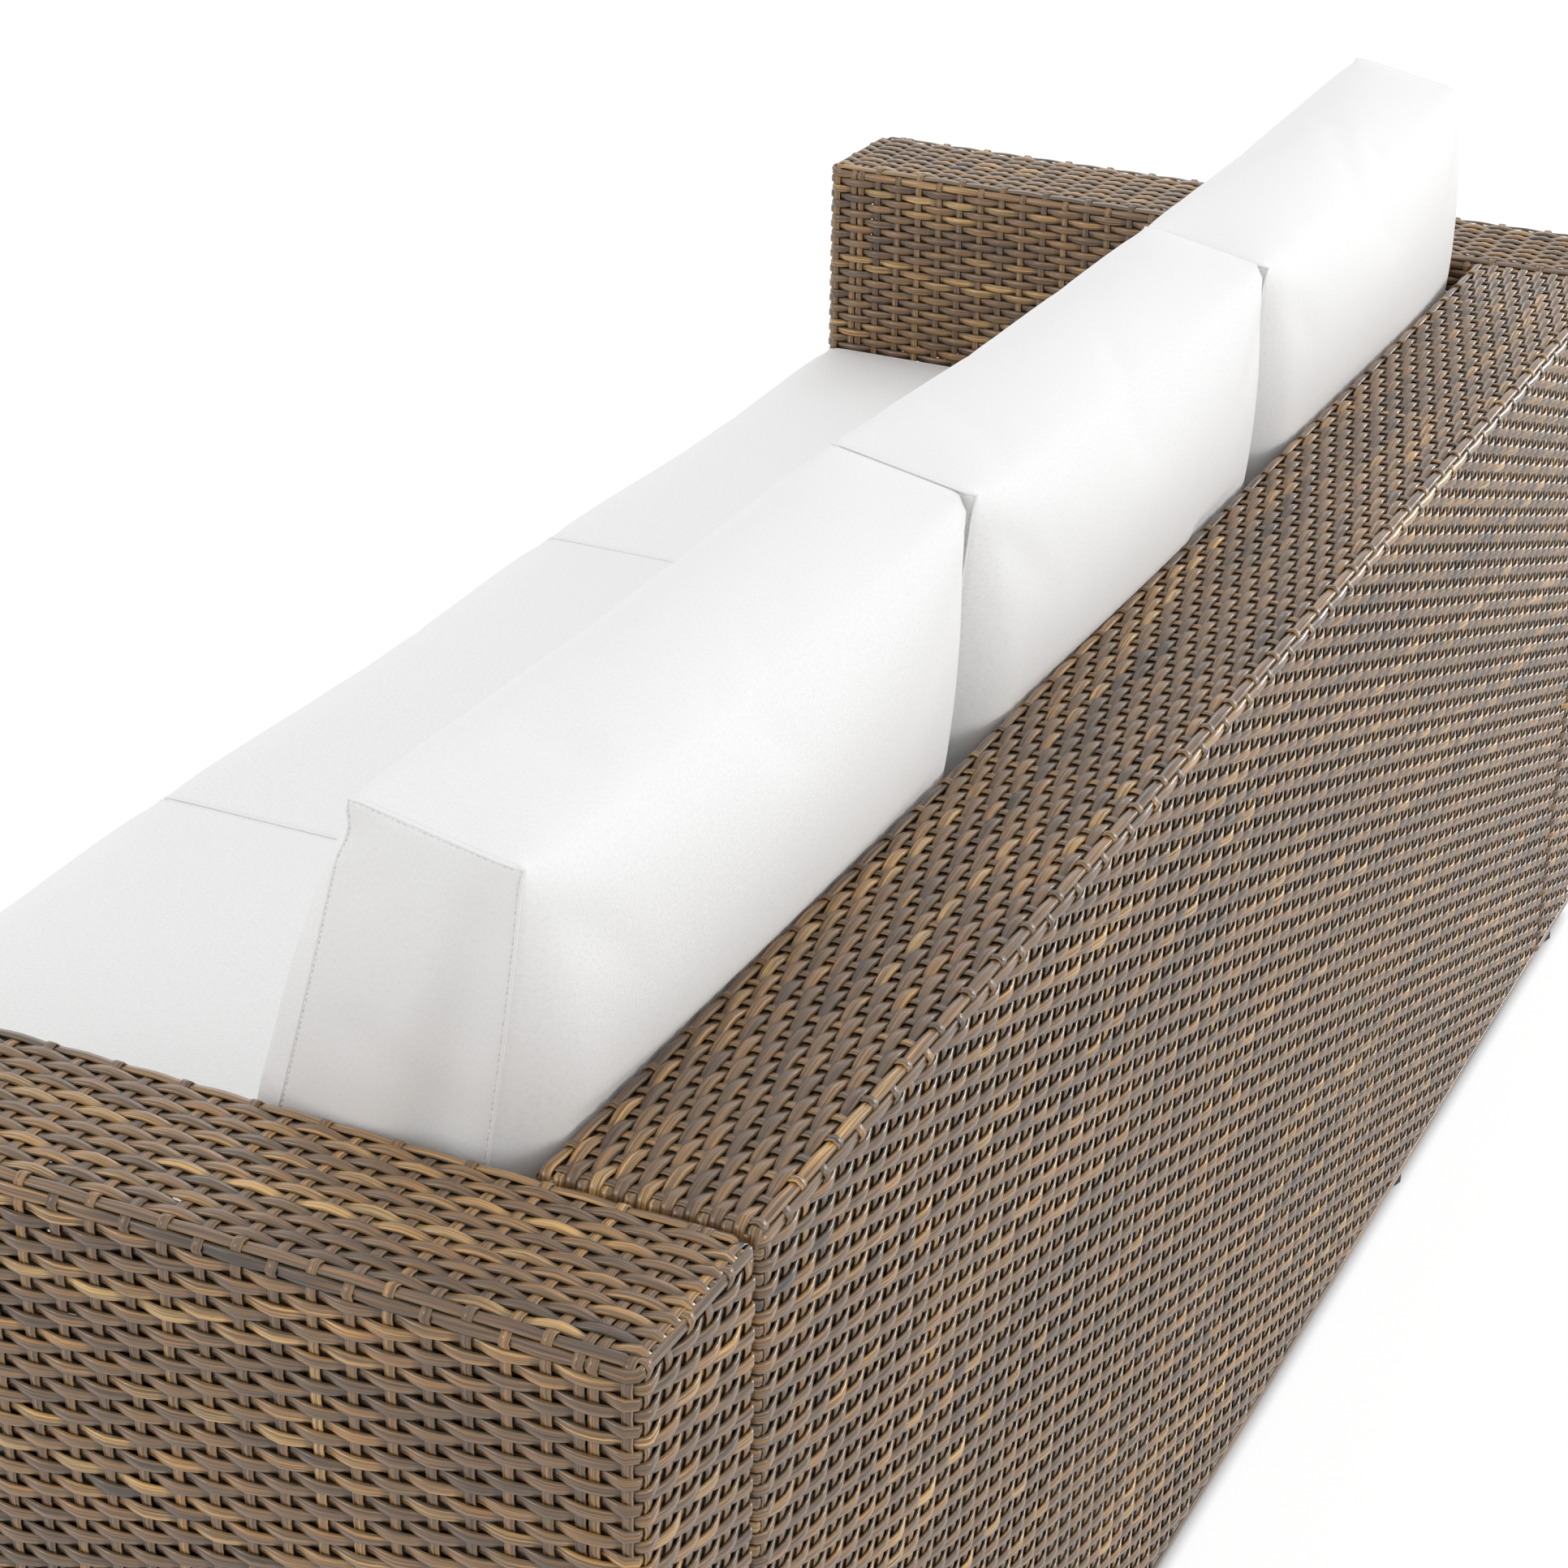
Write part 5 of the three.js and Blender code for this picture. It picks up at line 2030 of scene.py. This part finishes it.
@dataclass
class Studio:
    """Plain soft light, a pale floor and the camera.

    Attributes:
        eye: Where the camera stands.
        heading: Its compass direction, counted from +X, in degrees.
        pitch: How far it looks down, in degrees.
        roll: How far it leans, in degrees.
        lens: Its focal length in millimetres, on a 36 mm sensor.
        sky: The world's strength as a light.
        backdrop: The strength that the camera and reflections see.
        aim: What the lamps face.
        lamps: One behind the sofa, one in front of its near end, one above its far end and one
            that rakes its rear.
        footprint: How far the shade under the sofa reaches along and across it.
        shade_edge: How wide the soft edge of that shade is.
        floor_glow: How far the floor outside it is white to the camera.
        floor_grey: The floor's own grey.
        floor_roughness: The floor's roughness.
        floor_span: Half the floor's width.
    """

    SENSOR = 36.0
    FARTHEST = 50.0

    eye: tuple[float, float, float] = (2.0507, 0.9652, 1.5618)
    heading: float = 205.53
    pitch: float = 25.97
    roll: float = 0.91
    lens: float = 80.5
    sky: float = 0.94
    backdrop: float = 1.1
    aim: tuple[float, float, float] = (0.2, 0.0, 0.45)
    lamps: tuple[Lamp, ...] = (
        Lamp("key_lamp", (0.0, 4.0, 1.8), 1.0, 26.0),
        Lamp("fill_lamp", (3.3, -2.8, 2.2), 0.9, 20.0),
        Lamp("crown_lamp", (-2.4, -0.9, 2.1), 0.8, 4.0),
        Lamp("rim_lamp", (-3.2, 1.6, 0.9), 0.7, 22.0),
    )
    footprint: tuple[float, float] = (0.93, 0.36)
    shade_edge: float = 0.012
    floor_glow: float = 0.8
    floor_grey: float = 0.82
    floor_roughness: float = 0.9
    floor_span: float = 30.0

    def set_camera(self) -> None:
        """Sets the camera as the photograph's stood."""
        heading, pitch, roll = (math.radians(v) for v in (self.heading, self.pitch, self.roll))
        run = math.cos(pitch)
        forward = Vector((math.cos(heading) * run, math.sin(heading) * run, -math.sin(pitch)))
        level = forward.cross(Vector((0, 0, 1))).normalized()
        above = level.cross(forward)
        right = level * math.cos(roll) + above * math.sin(roll)
        up = above * math.cos(roll) - level * math.sin(roll)
        data = bpy.data.cameras.new("photo_camera")
        data.sensor_width, data.lens = self.SENSOR, self.lens
        data.clip_end = self.FARTHEST
        camera = placed("photo_camera", data)
        turned = Matrix((right, up, -forward)).transposed().to_4x4()
        camera.matrix_world = Matrix.Translation(self.eye) @ turned
        bpy.context.scene.camera = camera

    def light(self) -> None:
        """Lights the sofa evenly from the sky, and with the lamps round it."""
        world = bpy.data.worlds.new("studio")
        world.use_nodes = True
        tree = world.node_tree
        tree.nodes.clear()
        path = add_node(tree, "ShaderNodeLightPath").outputs
        seen = calculate(tree, "MAXIMUM", path["Is Camera Ray"], path["Is Transmission Ray"])
        seen = calculate(tree, "MAXIMUM", seen, path["Is Glossy Ray"])
        strength = calculate(tree, "MULTIPLY_ADD", seen, self.backdrop - self.sky, self.sky)
        background = add_node(
            tree, "ShaderNodeBackground", inputs={"Color": shade(1.0), "Strength": strength}
        )
        add_node(tree, "ShaderNodeOutputWorld", inputs={"Surface": background})
        bpy.context.scene.world = world
        for wanted in self.lamps:
            data = bpy.data.lights.new(wanted.name, "AREA")
            data.shape, data.size, data.energy = "DISK", wanted.size, wanted.power
            lamp = placed(wanted.name, data)
            aim = Vector(self.aim) - Vector(wanted.place)
            turned = aim.to_track_quat("-Z", "Y").to_matrix().to_4x4()
            lamp.matrix_world = Matrix.Translation(wanted.place) @ turned

    def lay_floor(self) -> None:
        """Lays a pale floor, white to the camera but for the shade under the sofa."""
        material, shader = new_material("Pale studio floor")
        tree = material.node_tree
        shader.inputs["Base Color"].default_value = shade(self.floor_grey)
        shader.inputs["Roughness"].default_value = self.floor_roughness
        glow = add_node(
            tree, "ShaderNodeEmission", inputs={"Color": shade(1.0), "Strength": self.backdrop}
        )
        axes = separate(tree, object_place(tree))
        beyond = [
            calculate(tree, "SUBTRACT", calculate(tree, "ABSOLUTE", axes[axis]), reach)
            for axis, reach in zip("XY", self.footprint)
        ]
        outside = ramp(
            tree,
            calculate(tree, "MAXIMUM", *beyond),
            [(0.0, shade(0.0)), (self.shade_edge, shade(self.floor_glow))],
        )
        path = add_node(tree, "ShaderNodeLightPath").outputs
        looked_at = calculate(tree, "MAXIMUM", path["Is Camera Ray"], path["Is Glossy Ray"])
        seen = times(tree, looked_at, outside)
        mixed = add_node(tree, "ShaderNodeMixShader", inputs={0: seen, 1: shader, 2: glow})
        output = next(n for n in tree.nodes if n.bl_idname == "ShaderNodeOutputMaterial")
        set_inputs(tree, output, {"Surface": mixed})
        mesh = bpy.data.meshes.new("floor")
        span = self.floor_span
        corners = [(-span, -span, 0), (span, -span, 0), (span, span, 0), (-span, span, 0)]
        mesh.from_pydata(corners, [], [(0, 1, 2, 3)])
        mesh.materials.append(material)
        floor = placed("floor", mesh)

    def build(self) -> None:
        """Sets up the whole studio."""
        self.set_camera()
        self.light()
        self.lay_floor()
        bpy.context.scene.view_settings.view_transform = "Standard"


def main() -> None:
    """Builds the sofa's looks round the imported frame."""
    logging.basicConfig(level=logging.INFO, format="%(message)s")
    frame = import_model()
    Studio().build()
    shop = Workshop()
    for side in (1, -1):
        WovenArm(side=side).build(shop)
    WovenBack().build(shop)
    WovenSeat().build(shop)
    build_cushions(shop)
    dress_nodes(frame["nodes"], shop)


if __name__ == "__main__":
    main()
